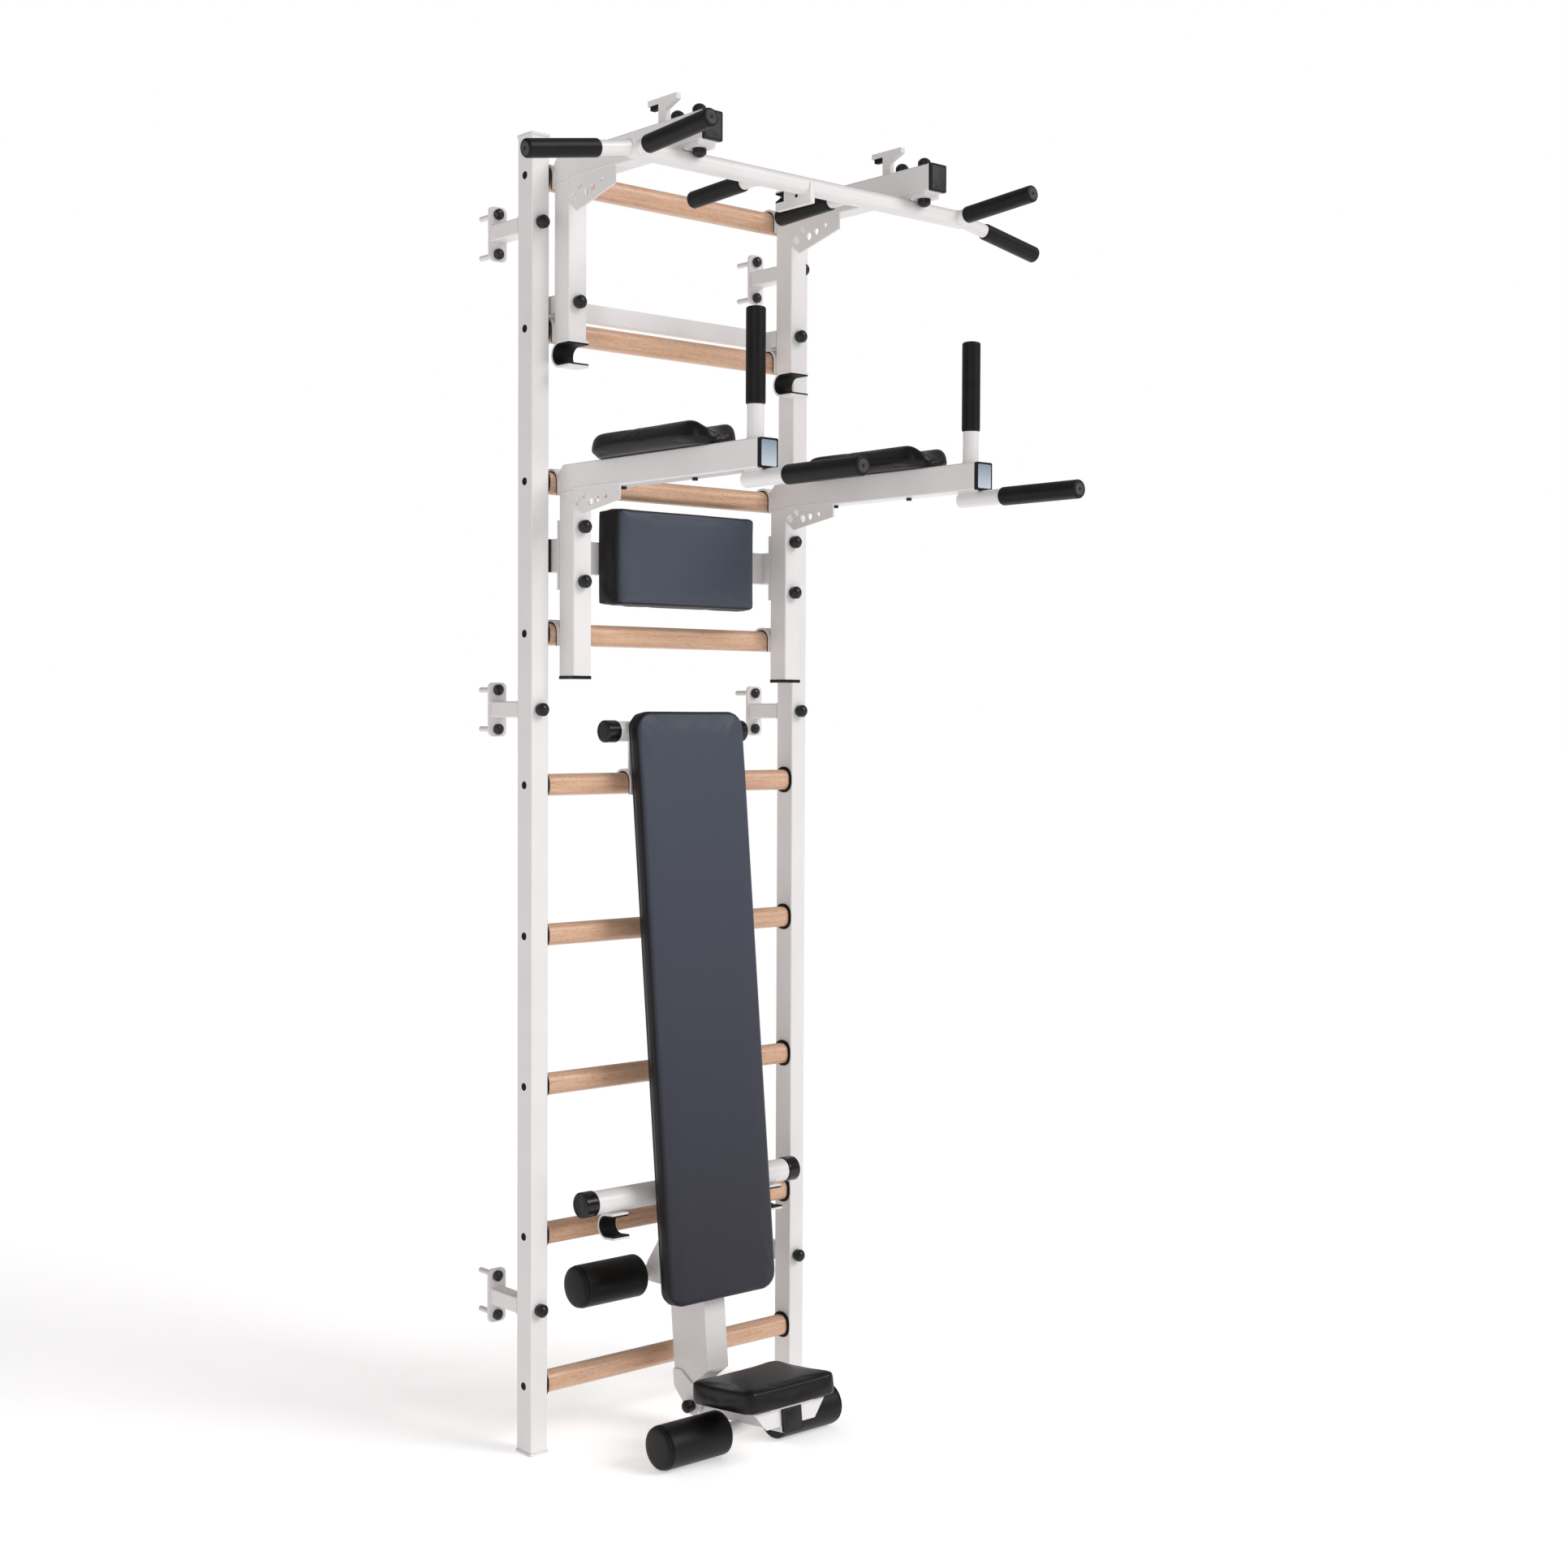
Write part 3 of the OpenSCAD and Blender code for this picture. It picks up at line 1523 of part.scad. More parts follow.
module seat_arm() {
  arm_top = -seat_arm_s + seat_arm / 2;
  front = -seat_front_t;
  rear = pin_t + arm_tail;
  color(steel_white)
    to_bench() {
      difference() {
        translate([0, front, -seat_arm_s])
          rotate([-90, 0, 0])
            tube(seat_arm, seat_arm, rear - front, tube_wall);
        translate([0, pin_t, -pin_s])
          rod_x(pin_r + run_gap, seat_arm + 2 * cut);
        translate([0, -low_axle_t, -low_axle_s])
          rod_x(axle_r + fit_gap / 2, seat_arm + 2 * cut);
      }
      translate([-seat_w / 4, seat_mid_t - seat_l / 2 + pad_tuck * 2, arm_top])
        cube([seat_w / 2, seat_l - pad_tuck * 4, seat_plate_t]);
      difference() {
        translate([0, front + bracket_rim / 2, arm_top])
          rotate([90, 0, 0])
            linear_extrude(height = bracket_rim, center = true)
              polygon([
                [-bracket_top_w / 2, 0], [-bracket_low_w / 2, -bracket_drop],
                [bracket_low_w / 2, -bracket_drop], [bracket_top_w / 2, 0]
              ]);
        translate([-seat_arm / 2 + tube_wall, front - cut, arm_top - seat_arm + tube_wall])
          cube([seat_arm - 2 * tube_wall, bracket_rim + 2 * cut, seat_arm - 2 * tube_wall]);
      }
    }
}

module seat_arm_cap() {
  color(black)
    to_bench()
      translate([0, -seat_front_t, -seat_arm_s])
        rotate([90, 0, 0])
          end_cap(seat_arm, seat_arm, tube_wall, cap_t, cap_in, 0);
}

module seat_roller_axle() {
  color(steel_white)
    to_bench()
      translate([0, -low_axle_t, -low_axle_s])
        roller_axle();
}

module lower_roller(sx) {
  color(black)
    to_bench()
      translate([sx < 0 ? -roller_end : roller_x, -low_axle_t, -low_axle_s])
        foam_roller();
}

module lower_roller_left() lower_roller(-1);
module lower_roller_right() lower_roller(1);

left_post();
right_post();
rung_1();
rung_2();
rung_3();
rung_4();
rung_5();
rung_6();
rung_7();
rung_8();
rung_9();
rung_collars();
rung_screws();
post_plugs();
wall_brackets();
wall_bolts();
bracket_bolts();
pull_up_uprights();
pull_up_arm_left();
pull_up_arm_right();
pull_up_hooks();
pull_up_linings();
pull_up_crossbar();
pull_up_bar();
pull_up_handles();
pull_up_grips();
pull_up_bolts();
barbell_cups();
band_hooks();
pull_up_end_caps();
dip_uprights();
dip_arm_left();
dip_arm_right();
dip_hooks();
dip_linings();
dip_crossbar();
dip_back_pad();
dip_arm_pad_left();
dip_arm_pad_right();
dip_handles();
dip_grips();
dip_bolts();
dip_end_caps();
bench_pad();
bench_board();
bench_beam();
bench_cross_tubes();
bench_hooks();
bench_linings();
bench_tube_caps();
bench_roller_axle();
upper_roller_left();
upper_roller_right();
hinge_pin();
seat_pad();
seat_arm();
seat_arm_cap();
seat_roller_axle();
lower_roller_left();
lower_roller_right();
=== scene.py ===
"""Wall bars with a pull-up frame, a dip station and a hanging bench, in a pale studio."""
import json
import math

import bmesh
import bpy
from mathutils import Matrix, Vector


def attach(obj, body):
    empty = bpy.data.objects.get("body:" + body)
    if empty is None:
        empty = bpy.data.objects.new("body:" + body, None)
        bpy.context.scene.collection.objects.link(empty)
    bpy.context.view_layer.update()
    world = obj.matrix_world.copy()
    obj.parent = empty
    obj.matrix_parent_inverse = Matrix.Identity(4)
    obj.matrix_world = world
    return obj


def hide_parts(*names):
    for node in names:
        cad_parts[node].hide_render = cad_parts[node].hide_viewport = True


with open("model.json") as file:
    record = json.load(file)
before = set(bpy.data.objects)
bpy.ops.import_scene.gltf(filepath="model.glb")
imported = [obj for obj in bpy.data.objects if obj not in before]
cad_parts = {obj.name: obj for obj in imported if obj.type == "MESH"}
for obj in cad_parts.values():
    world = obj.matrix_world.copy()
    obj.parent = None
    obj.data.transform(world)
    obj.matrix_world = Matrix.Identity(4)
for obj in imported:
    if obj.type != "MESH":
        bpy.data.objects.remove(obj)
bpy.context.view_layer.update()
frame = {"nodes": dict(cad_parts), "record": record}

MM = 0.001

# Sizes and places of the solid model that the details follow, in millimetres
MID_Y = 317.0
WALL_BEHIND = 118.0
PLATE_T = 5.0
RUNG_COUNT = 9
RUNG_FIRST_Z = 125.0
RUNG_PITCH = 275.0
RUNG_D = 36.0
RUNG_H = 40.0
RUNG_R = 16.0
POST_X = 316.0
POST_W = 38.0
POST_D = 45.0
COLLAR_T = 3.0
BRACKET_ZS = (267.0, 1362.5, 2240.0)
BRACKET_TUBE = 30.0
PULL_X = 268.0
DIP_X = 256.0
UNIT_BACK = 25.0
UNIT_FRONT = 70.0
TUBE_W = 40.0
TUBE_D = 45.0
ARM_H = 50.0
GUSSET_T = 4.0
GUSSET_SEAM = 130
PULL_ARM_Z = 2312.0
PULL_ARM_END = 450.0
DIP_ARM_Z = RUNG_FIRST_Z + 6 * RUNG_PITCH - 18.0
DIP_ARM_END = 580.0
BENCH_TILT = math.radians(5.6)
BENCH_OFF = 72.0
BENCH_TOP_Z = RUNG_FIRST_Z + 4 * RUNG_PITCH + 134.0
BEAM_HALF_W = 25.0
ROLLER_END = 204.0
REST_GAP = 0.3
BENCH_PAD_L = 1096.0
BENCH_PAD_T = 32.0
SEAT_PAD_DOWN = 1270.0
SEAT_PAD_DEPTH = -90.0
BACK_PAD_Z = RUNG_FIRST_Z + 5 * RUNG_PITCH + 146.0
ARM_PAD_REACH = 389.0

# Bar and handles of the pull-up unit: the bar's place ahead of the posts and its height,
# then each handle's place across the bar, its turn in degrees and the way to its grip's end
PULL_BAR = (384.0, 2290.0)
PULL_BAR_R = 16.0
HOLDER_R = 12.5
WIDE_HANDLE = (396.0, 100.0, 210.0)
NEUTRAL_HANDLE = (380.0, 86.0, 196.0)
CLOSE_HANDLE = (105.0, -92.5, 188.0)

# Handles of the dip unit
DIP_BAR_R = 14.0
DIP_POST_AHEAD = 546.0
DIP_POST_H = 217.0
DIP_HANDLE_BACK = 524.2
DIP_HANDLE_END = 802.0

# Bench tubes and axles: the way down the bench, the depth behind its pad's front and any radius
HIGH_TUBE = (31.0, 57.3, 19.0)
LOW_TUBE = (896.0, 88.0, 22.0)
HIGH_TUBE_END = 170.0
LOW_TUBE_END = 261.0
HIGH_AXLE = (1062.9, 190.0)
LOW_AXLE = (1326.0, -35.0)
CUP_X = 188.0
CUP_HALF_W = 18.0
SEAT_CAP = (1296.0, -166.7)


# Meshes

def place(*moves):
    """One matrix from several moves, first move outermost, with lengths in millimetres."""
    total = Matrix.Identity(4)
    for move in moves:
        total = total @ move
    return total


def shift(x, y, z):
    return Matrix.Translation((x * MM, y * MM, z * MM))


def turn(angle, axis):
    return Matrix.Rotation(angle, 4, axis)


BENCH = place(shift(0, MID_Y - BENCH_OFF, BENCH_TOP_Z), turn(-BENCH_TILT, "X"))


def front(x, ahead, z):
    """Place of a point given in millimetres ahead of the posts' middle plane."""
    return shift(x, MID_Y - ahead, z)


def on_bench(x, down, depth):
    """Place of a point on the bench: across, down its length and behind its pad's front."""
    return place(BENCH, shift(x, depth, -down))


def new_object(name, data):
    obj = bpy.data.objects.new(name, data)
    bpy.context.scene.collection.objects.link(obj)
    return obj


def new_piece(name, mesh, material):
    """A smooth object with one material."""
    obj = new_object(name, mesh)
    mesh.materials.append(MATERIALS[material])
    for face in mesh.polygons:
        face.use_smooth = True
    return obj


def closed_mesh(name, bm):
    """The mesh of a bmesh whose faces all look outward."""
    bmesh.ops.recalc_face_normals(bm, faces=bm.faces)
    mesh = bpy.data.meshes.new(name)
    bm.to_mesh(mesh)
    bm.free()
    return mesh


def add_object(name, bm, material, body):
    """A new piece from a mesh in the row frame, riding on a body and finished from a slot."""
    obj = new_piece(name, closed_mesh(name, bm), material)
    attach(obj, body)


def add_lathe(bm, profile, matrix, steps=40):
    """Body turned about Z from points of radius and height that start and end on the axis."""
    low = bm.verts.new(matrix @ Vector((0, 0, profile[0][1] * MM)))
    high = bm.verts.new(matrix @ Vector((0, 0, profile[-1][1] * MM)))
    rings = []
    for radius, height in profile[1:-1]:
        ring = []
        for i in range(steps):
            angle = 2 * math.pi * i / steps
            at = Vector((radius * math.cos(angle), radius * math.sin(angle), height)) * MM
            ring.append(bm.verts.new(matrix @ at))
        rings.append(ring)
    for i in range(steps):
        j = (i + 1) % steps
        bm.faces.new((low, rings[0][j], rings[0][i]))
        bm.faces.new((high, rings[-1][i], rings[-1][j]))
        for under, over in zip(rings, rings[1:]):
            bm.faces.new((under[i], under[j], over[j], over[i]))


def add_bead(bm, points, radius, matrix, closed=True, sides=8):
    """Thin round bead along a row of points in millimetres."""
    count = len(points)
    middle = sum((Vector(p) for p in points), Vector()) / count
    rings = []
    for i in range(count):
        here = Vector(points[i])
        before = Vector(points[i - 1 if closed or i else i])
        after = Vector(points[(i + 1) % count if closed or i < count - 1 else i])
        along = (after - before).normalized()
        away = here - middle
        if away.cross(along).length < 0.01 * max(away.length, 1):
            away = Vector((0.31, 0.47, 0.83))
        across = along.cross(away).normalized()
        other = across.cross(along)
        ring = []
        for k in range(sides):
            angle = 2 * math.pi * k / sides
            at = here + radius * (math.cos(angle) * across + math.sin(angle) * other)
            ring.append(bm.verts.new(matrix @ (at * MM)))
        rings.append(ring)
    pairs = list(zip(rings, rings[1:]))
    if closed:
        pairs.append((rings[-1], rings[0]))
    for one, two in pairs:
        for k in range(sides):
            m = (k + 1) % sides
            bm.faces.new((one[k], one[m], two[m], two[k]))
    if not closed:
        bm.faces.new(rings[0][::-1])
        bm.faces.new(rings[-1])


def circle_points(radius, steps=32):
    return [(radius * math.cos(2 * math.pi * i / steps), radius * math.sin(2 * math.pi * i / steps), 0)
            for i in range(steps)]


def saddle_points(stub, main, steps=40):
    """Seam of a tube along Z that meets a tube along X through the origin."""
    points = []
    for i in range(steps):
        angle = 2 * math.pi * i / steps
        across = stub * math.sin(angle)
        points.append((stub * math.cos(angle), across, math.sqrt(main * main - across * across)))
    return points


def skin(bm, loops):
    """Faces between loops of equally many points, and over both ends."""
    count = len(loops[0])
    for low, high in zip(loops, loops[1:]):
        for i in range(count):
            j = (i + 1) % count
            bm.faces.new((low[i], low[j], high[j], high[i]))
    bm.faces.new(loops[0][::-1])
    bm.faces.new(loops[-1])


def add_plate(bm, width, height, depth, radius, edge, matrix):
    """Flat plate with round corners and a bevelled front, standing on its back."""
    loops = []
    for inset, at in ((0, 0), (0, depth - edge), (edge * 0.3, depth - edge * 0.3), (edge, depth)):
        outline = round_outline(width / 2 - inset, height / 2 - inset, radius - inset * 0.5, 6)
        loops.append([bm.verts.new(matrix @ (Vector((x, y, at)) * MM)) for x, y in outline])
    skin(bm, loops)


def loft_mesh(name, rings):
    """Closed mesh through rings of equally many points, in millimetres."""
    bm = bmesh.new()
    skin(bm, [[bm.verts.new(Vector(p) * MM) for p in ring] for ring in rings])
    return closed_mesh(name, bm)


def round_outline(half_w, half_l, radius, steps=10):
    """Points round a rectangle with round corners."""
    points = []
    for corner, (sx, sy) in enumerate(((1, 1), (-1, 1), (-1, -1), (1, -1))):
        for i in range(steps + 1):
            angle = math.pi / 2 * (corner + i / steps)
            x = sx * (half_w - radius) + radius * math.cos(angle)
            y = sy * (half_l - radius) + radius * math.sin(angle)
            points.append((x, y))
    return points


def cushion_mesh(name, half_w, half_l, depth, corner, edge, crown, tuck):
    """Upholstered pad with its back at zero, sides drawn in towards the back and a crown."""
    side = [(tuck, 0), (tuck * 0.6, depth * 0.08), (tuck * 0.2, depth * 0.25), (0, depth * 0.5)]
    for i in range(7):
        angle = math.pi / 2 * i / 6
        side.append((edge * (1 - math.cos(angle)), depth - crown - edge * (1 - math.sin(angle))))
    half = min(half_w, half_l)
    for i in range(1, 8):
        share = i / 8
        height = depth - crown + crown * math.sin(math.pi / 2 * share)
        side.append((edge + (half - edge) * share, height))
    rings = []
    for inset, height in side:
        radius = max(corner - inset, edge / 3)
        rings.append([(x, y, height) for x, y in round_outline(half_w - inset, half_l - inset, radius)])
    return loft_mesh(name, rings)


def puff(obj, voxel, cap, pressure=4.0, frames=20):
    """Swells a pad by a cloth simulation with its back held, then keeps every point within a cap."""
    bpy.context.view_layer.objects.active = obj
    remesh = obj.modifiers.new("remesh", "REMESH")
    remesh.mode = "VOXEL"
    remesh.voxel_size = voxel * MM
    remesh.use_smooth_shade = True
    apply_modifier(obj, remesh)
    before = [v.co.copy() for v in obj.data.vertices]
    held = obj.vertex_groups.new(name="held")
    low = min(v.co.z for v in obj.data.vertices)
    held.add([v.index for v in obj.data.vertices if v.co.z < low + 0.1 * voxel * MM], 1.0, "REPLACE")
    cloth = obj.modifiers.new("cloth", "CLOTH")
    cloth.settings.use_pressure = True
    cloth.settings.uniform_pressure_force = pressure
    cloth.settings.quality = 5
    cloth.settings.tension_stiffness = 20
    cloth.settings.effector_weights.gravity = 0
    cloth.settings.vertex_group_mass = held.name
    cloth.collision_settings.use_self_collision = False
    cloth.point_cache.frame_start = 1
    cloth.point_cache.frame_end = frames
    scene = bpy.context.scene
    for step in range(1, frames + 1):
        scene.frame_set(step)
    apply_modifier(obj, cloth)
    scene.frame_set(1)
    for vertex, start in zip(obj.data.vertices, before):
        move = vertex.co - start
        if move.length > cap * MM:
            vertex.co = start + move.normalized() * cap * MM
    obj.vertex_groups.clear()
    subdivide = obj.modifiers.new("smooth", "SUBSURF")
    subdivide.levels = subdivide.render_levels = 1
    apply_modifier(obj, subdivide)
    for face in obj.data.polygons:
        face.use_smooth = True


def apply_modifier(obj, modifier):
    """Applies one modifier to its object's mesh."""
    with bpy.context.temp_override(object=obj, active_object=obj, selected_objects=[obj]):
        bpy.ops.object.modifier_apply(modifier=modifier.name)


# Materials

def new_material(name, color, roughness):
    """A material with its tree and shader."""
    material = bpy.data.materials.new(name)
    material.use_nodes = True
    tree = material.node_tree
    shader = tree.nodes["Principled BSDF"]
    shader.inputs["Base Color"].default_value = (*color, 1)
    shader.inputs["Roughness"].default_value = roughness
    return material, tree, shader


def node(tree, kind, **settings):
    """A node with some of its sockets and settings set."""
    made = tree.nodes.new(kind)
    for key, value in settings.items():
        if key in made.inputs:
            made.inputs[key].default_value = value
        else:
            setattr(made, key, value)
    return made


def coordinates(tree, stretch=(1, 1, 1)):
    """Object coordinates in metres, stretched along each axis."""
    source = node(tree, "ShaderNodeTexCoord")
    scale = node(tree, "ShaderNodeMapping")
    scale.inputs["Scale"].default_value = stretch
    tree.links.new(source.outputs["Object"], scale.inputs["Vector"])
    return scale.outputs["Vector"]


def noise(tree, vector, scale, detail=2.0, roughness=0.5):
    made = node(tree, "ShaderNodeTexNoise", Scale=scale, Detail=detail, Roughness=roughness)
    tree.links.new(vector, made.inputs["Vector"])
    return made.outputs["Fac"]


def ramp(tree, factor, stops):
    """A colour ramp with stops of place and colour."""
    made = node(tree, "ShaderNodeValToRGB")
    elements = made.color_ramp.elements
    while len(elements) < len(stops):
        elements.new(0.5)
    for element, (place_at, color) in zip(elements, stops):
        element.position = place_at
        element.color = (*color, 1)
    tree.links.new(factor, made.inputs["Fac"])
    return made.outputs["Color"]


def bump(tree, shader, height, distance, strength):
    made = node(tree, "ShaderNodeBump", Strength=strength, Distance=distance)
    tree.links.new(height, made.inputs["Height"])
    tree.links.new(made.outputs["Normal"], shader.inputs["Normal"])


def grey(value):
    return (value, value, value)


BLACK = (0.01, 0.01, 0.011)
BLACK_WEAR = [(0.35, (0.006, 0.006, 0.007)), (0.75, (0.014, 0.014, 0.016))]
ZINC_WEAR = [(0.35, (0.70, 0.70, 0.70)), (0.75, (0.78, 0.78, 0.77))]
BLACK_LEATHER = [(0.3, (0.003, 0.003, 0.004)), (0.7, (0.006, 0.006, 0.007))]


def powder_coat():
    """Off-white powder coat: fine orange peel, faint unevenness."""
    material, tree, shader = new_material("powder_coat", (0.82, 0.80, 0.80), 0.36)
    vector = coordinates(tree)
    cloud = noise(tree, vector, 9, 3)
    tint = ramp(tree, cloud, [(0.3, (0.80, 0.78, 0.78)), (0.7, (0.84, 0.82, 0.815))])
    tree.links.new(tint, shader.inputs["Base Color"])
    shader.inputs["Coat Weight"].default_value = 0.25
    shader.inputs["Coat Roughness"].default_value = 0.2
    peel = noise(tree, vector, 650, 2)
    bump(tree, shader, peel, 0.00012, 0.35)
    return material


def beech():
    """Lacquered beech with long grain and short flecks along X."""
    material, tree, shader = new_material("beech", (0.8, 0.56, 0.36), 0.42)
    grain = noise(tree, coordinates(tree, (5, 90, 90)), 1.6, 6, 0.6)
    base = ramp(tree, grain, [
        (0.25, (0.56, 0.31, 0.185)), (0.5, (0.69, 0.42, 0.27)), (0.75, (0.79, 0.52, 0.36))])
    fleck_field = noise(tree, coordinates(tree, (90, 1300, 1300)), 1, 1)
    fleck = ramp(tree, fleck_field, [(0.62, (0, 0, 0)), (0.70, (1, 1, 1))])
    mix = node(tree, "ShaderNodeMix", data_type="RGBA")
    tree.links.new(fleck, mix.inputs["Factor"])
    tree.links.new(base, mix.inputs["A"])
    mix.inputs["B"].default_value = (0.36, 0.20, 0.11, 1)
    tree.links.new(mix.outputs["Result"], shader.inputs["Base Color"])
    shader.inputs["Coat Weight"].default_value = 0.4
    shader.inputs["Coat Roughness"].default_value = 0.25
    bump(tree, shader, grain, 0.0002, 0.3)
    return material


def black_plastic(name="black_plastic", roughness=0.32):
    """Moulded black plastic with a fine spark-eroded grain."""
    material, tree, shader = new_material(name, BLACK, roughness)
    shader.inputs["Specular IOR Level"].default_value = 0.34
    vector = coordinates(tree)
    wear = ramp(tree, noise(tree, vector, 60, 4), BLACK_WEAR)
    tree.links.new(wear, shader.inputs["Base Color"])
    bump(tree, shader, noise(tree, vector, 1400, 2), 0.00006, 0.5)
    return material


def wall_bolt():
    """Black cap in front of the wall, bright zinc on the stud behind it."""
    material, tree, shader = new_material("wall_bolt", BLACK, 0.32)
    vector = coordinates(tree)
    depth = node(tree, "ShaderNodeSeparateXYZ")
    tree.links.new(vector, depth.inputs[0])
    behind = node(tree, "ShaderNodeMath", operation="GREATER_THAN")
    behind.inputs[1].default_value = (MID_Y + WALL_BEHIND) * MM
    tree.links.new(depth.outputs["Y"], behind.inputs[0])
    mix = node(tree, "ShaderNodeMix", data_type="RGBA")
    tree.links.new(behind.outputs[0], mix.inputs["Factor"])
    wear = noise(tree, vector, 60, 4)
    tree.links.new(ramp(tree, wear, BLACK_WEAR), mix.inputs["A"])
    tree.links.new(ramp(tree, wear, ZINC_WEAR), mix.inputs["B"])
    tree.links.new(mix.outputs["Result"], shader.inputs["Base Color"])
    bump(tree, shader, noise(tree, vector, 1400, 2), 0.00006, 0.5)
    return material


def plug_plastic():
    material, tree, shader = new_material("plug_plastic", (0.78, 0.78, 0.79), 0.45)
    vector = coordinates(tree)
    bump(tree, shader, noise(tree, vector, 1200, 2), 0.00006, 0.5)
    tint = ramp(tree, noise(tree, vector, 30, 2), [(0.3, (0.74, 0.74, 0.75)), (0.7, (0.8, 0.8, 0.81))])
    tree.links.new(tint, shader.inputs["Base Color"])
    return material


def lining_rubber():
    material, tree, shader = new_material("lining_rubber", (0.02, 0.02, 0.02), 0.6)
    vector = coordinates(tree)
    tint = ramp(tree, noise(tree, vector, 120, 3), [
        (0.3, (0.004, 0.004, 0.004)), (0.8, (0.010, 0.010, 0.010))])
    shader.inputs["Specular IOR Level"].default_value = 0.2
    tree.links.new(tint, shader.inputs["Base Color"])
    bump(tree, shader, noise(tree, vector, 900, 3), 0.0001, 0.6)
    return material


def foam(name, lit, rough):
    """Closed-cell foam with a skin of tiny pores."""
    material, tree, shader = new_material(name, grey(lit), rough)
    vector = coordinates(tree)
    tint = ramp(tree, noise(tree, vector, 45, 4), [(0.3, grey(lit * 0.7)), (0.75, grey(lit * 1.5))])
    tree.links.new(tint, shader.inputs["Base Color"])
    cells = node(tree, "ShaderNodeTexVoronoi", Scale=900.0)
    tree.links.new(vector, cells.inputs["Vector"])
    bump(tree, shader, cells.outputs["Distance"], 0.00025, 0.5)
    shader.inputs["Specular IOR Level"].default_value = 0.22
    return material


def pebbled(name, color, roughness):
    """Imitation leather with a pebbled grain, whose colour its caller links."""
    material, tree, shader = new_material(name, color, roughness)
    vector = coordinates(tree)
    pebbles = node(tree, "ShaderNodeTexVoronoi", Scale=620.0)
    tree.links.new(vector, pebbles.inputs["Vector"])
    bump(tree, shader, pebbles.outputs["Distance"], 0.00022, 0.45)
    shader.inputs["Specular IOR Level"].default_value = 0.28
    return material, tree, shader, vector


def upholstery():
    """Near-black leather with painted light on its front faces: a grey-blue sheen that darkens into painted
    shade towards the bottom.
    """
    material, tree, shader, vector = pebbled("upholstery", (0.06, 0.066, 0.09), 0.45)
    # Painted shade: the front colour darkens from the pad tops down towards the floor, as the light falls
    # off lower down.
    height = node(tree, "ShaderNodeSeparateXYZ")
    tree.links.new(vector, height.inputs[0])
    shaded_foot_z, lit_top_z = 0.3, 1.35
    fade = node(tree, "ShaderNodeMapRange")
    fade.inputs["From Min"].default_value = shaded_foot_z
    fade.inputs["From Max"].default_value = lit_top_z
    tree.links.new(height.outputs["Z"], fade.inputs["Value"])
    face = ramp(tree, fade.outputs["Result"], [(0.0, (0.026, 0.024, 0.038)), (1.0, (0.060, 0.071, 0.098))])
    side = ramp(tree, noise(tree, vector, 5, 3), BLACK_LEATHER)
    # Painted light: faces turned to the front take the lit grey-blue colour, faces turned aside keep the
    # plain black leather.
    source = node(tree, "ShaderNodeTexCoord")
    facing = node(tree, "ShaderNodeSeparateXYZ")
    tree.links.new(source.outputs["Normal"], facing.inputs[0])
    sideways, forward = -0.55, -0.95
    share = node(tree, "ShaderNodeMapRange", interpolation_type="SMOOTHSTEP")
    share.inputs["From Min"].default_value = sideways
    share.inputs["From Max"].default_value = forward
    tree.links.new(facing.outputs["Y"], share.inputs["Value"])
    mix = node(tree, "ShaderNodeMix", data_type="RGBA")
    tree.links.new(share.outputs["Result"], mix.inputs["Factor"])
    tree.links.new(side, mix.inputs["A"])
    tree.links.new(face, mix.inputs["B"])
    tree.links.new(mix.outputs["Result"], shader.inputs["Base Color"])
    return material


def upholstery_black():
    """Near-black leather of the seat and the arm pads."""
    material, tree, shader, vector = pebbled("upholstery_black", (0.008, 0.008, 0.009), 0.34)
    tint = ramp(tree, noise(tree, vector, 7, 3), BLACK_LEATHER)
    tree.links.new(tint, shader.inputs["Base Color"])
    return material


def glossy_panel():
    """Pale blue-grey inlay of the dip unit's end caps, lighter towards its foot."""
    material, tree, shader = new_material("glossy_panel", (0.42, 0.50, 0.60), 0.12)
    vector = coordinates(tree)
    height = node(tree, "ShaderNodeSeparateXYZ")
    tree.links.new(vector, height.inputs[0])
    margin = 5
    fade = node(tree, "ShaderNodeMapRange")
    fade.inputs["From Min"].default_value = (DIP_ARM_Z + margin) * MM
    fade.inputs["From Max"].default_value = (DIP_ARM_Z + ARM_H - margin) * MM
    tree.links.new(height.outputs["Z"], fade.inputs["Value"])
    tint = ramp(tree, fade.outputs["Result"], [(0.0, (0.62, 0.69, 0.76)), (1.0, (0.26, 0.33, 0.42))])
    tree.links.new(tint, shader.inputs["Base Color"])
    return material


MATERIALS = {
    "powder_coat": powder_coat(),
    "beech": beech(),
    "black_plastic": black_plastic(),
    "black_gloss": black_plastic("black_gloss", 0.12),
    "black_steel": black_plastic("black_steel", 0.4),
    "cap_grey": foam("cap_grey", 0.045, 0.5),
    "plug_plastic": plug_plastic(),
    "lining_rubber": lining_rubber(),
    "foam": foam("foam", 0.005, 0.4),
    "foam_end": foam("foam_end", 0.06, 0.6),
    "upholstery": upholstery(),
    "upholstery_black": upholstery_black(),
    "glossy_panel": glossy_panel(),
    "wall_bolt": wall_bolt(),
}
OWN_FINISH = {
    "bench_tube_caps": "black_gloss",
    "dip_end_caps": "black_gloss",
    "dip_arm_pad_left": "upholstery_black",
    "dip_arm_pad_right": "upholstery_black",
    "seat_pad": "upholstery_black",
    "rung_collars": "lining_rubber",
    "rung_screws": "lining_rubber",
    "wall_bolts": "wall_bolt",
}


def dress_nodes():
    """Every solid of the model gets its own finish or the one of its slot."""
    for part in frame["record"]["subparts"]:
        mesh = frame["nodes"][part["node"]].data
        mesh.materials.clear()
        mesh.materials.append(MATERIALS[OWN_FINISH.get(part["node"], part["material_slot"])])


# Small details

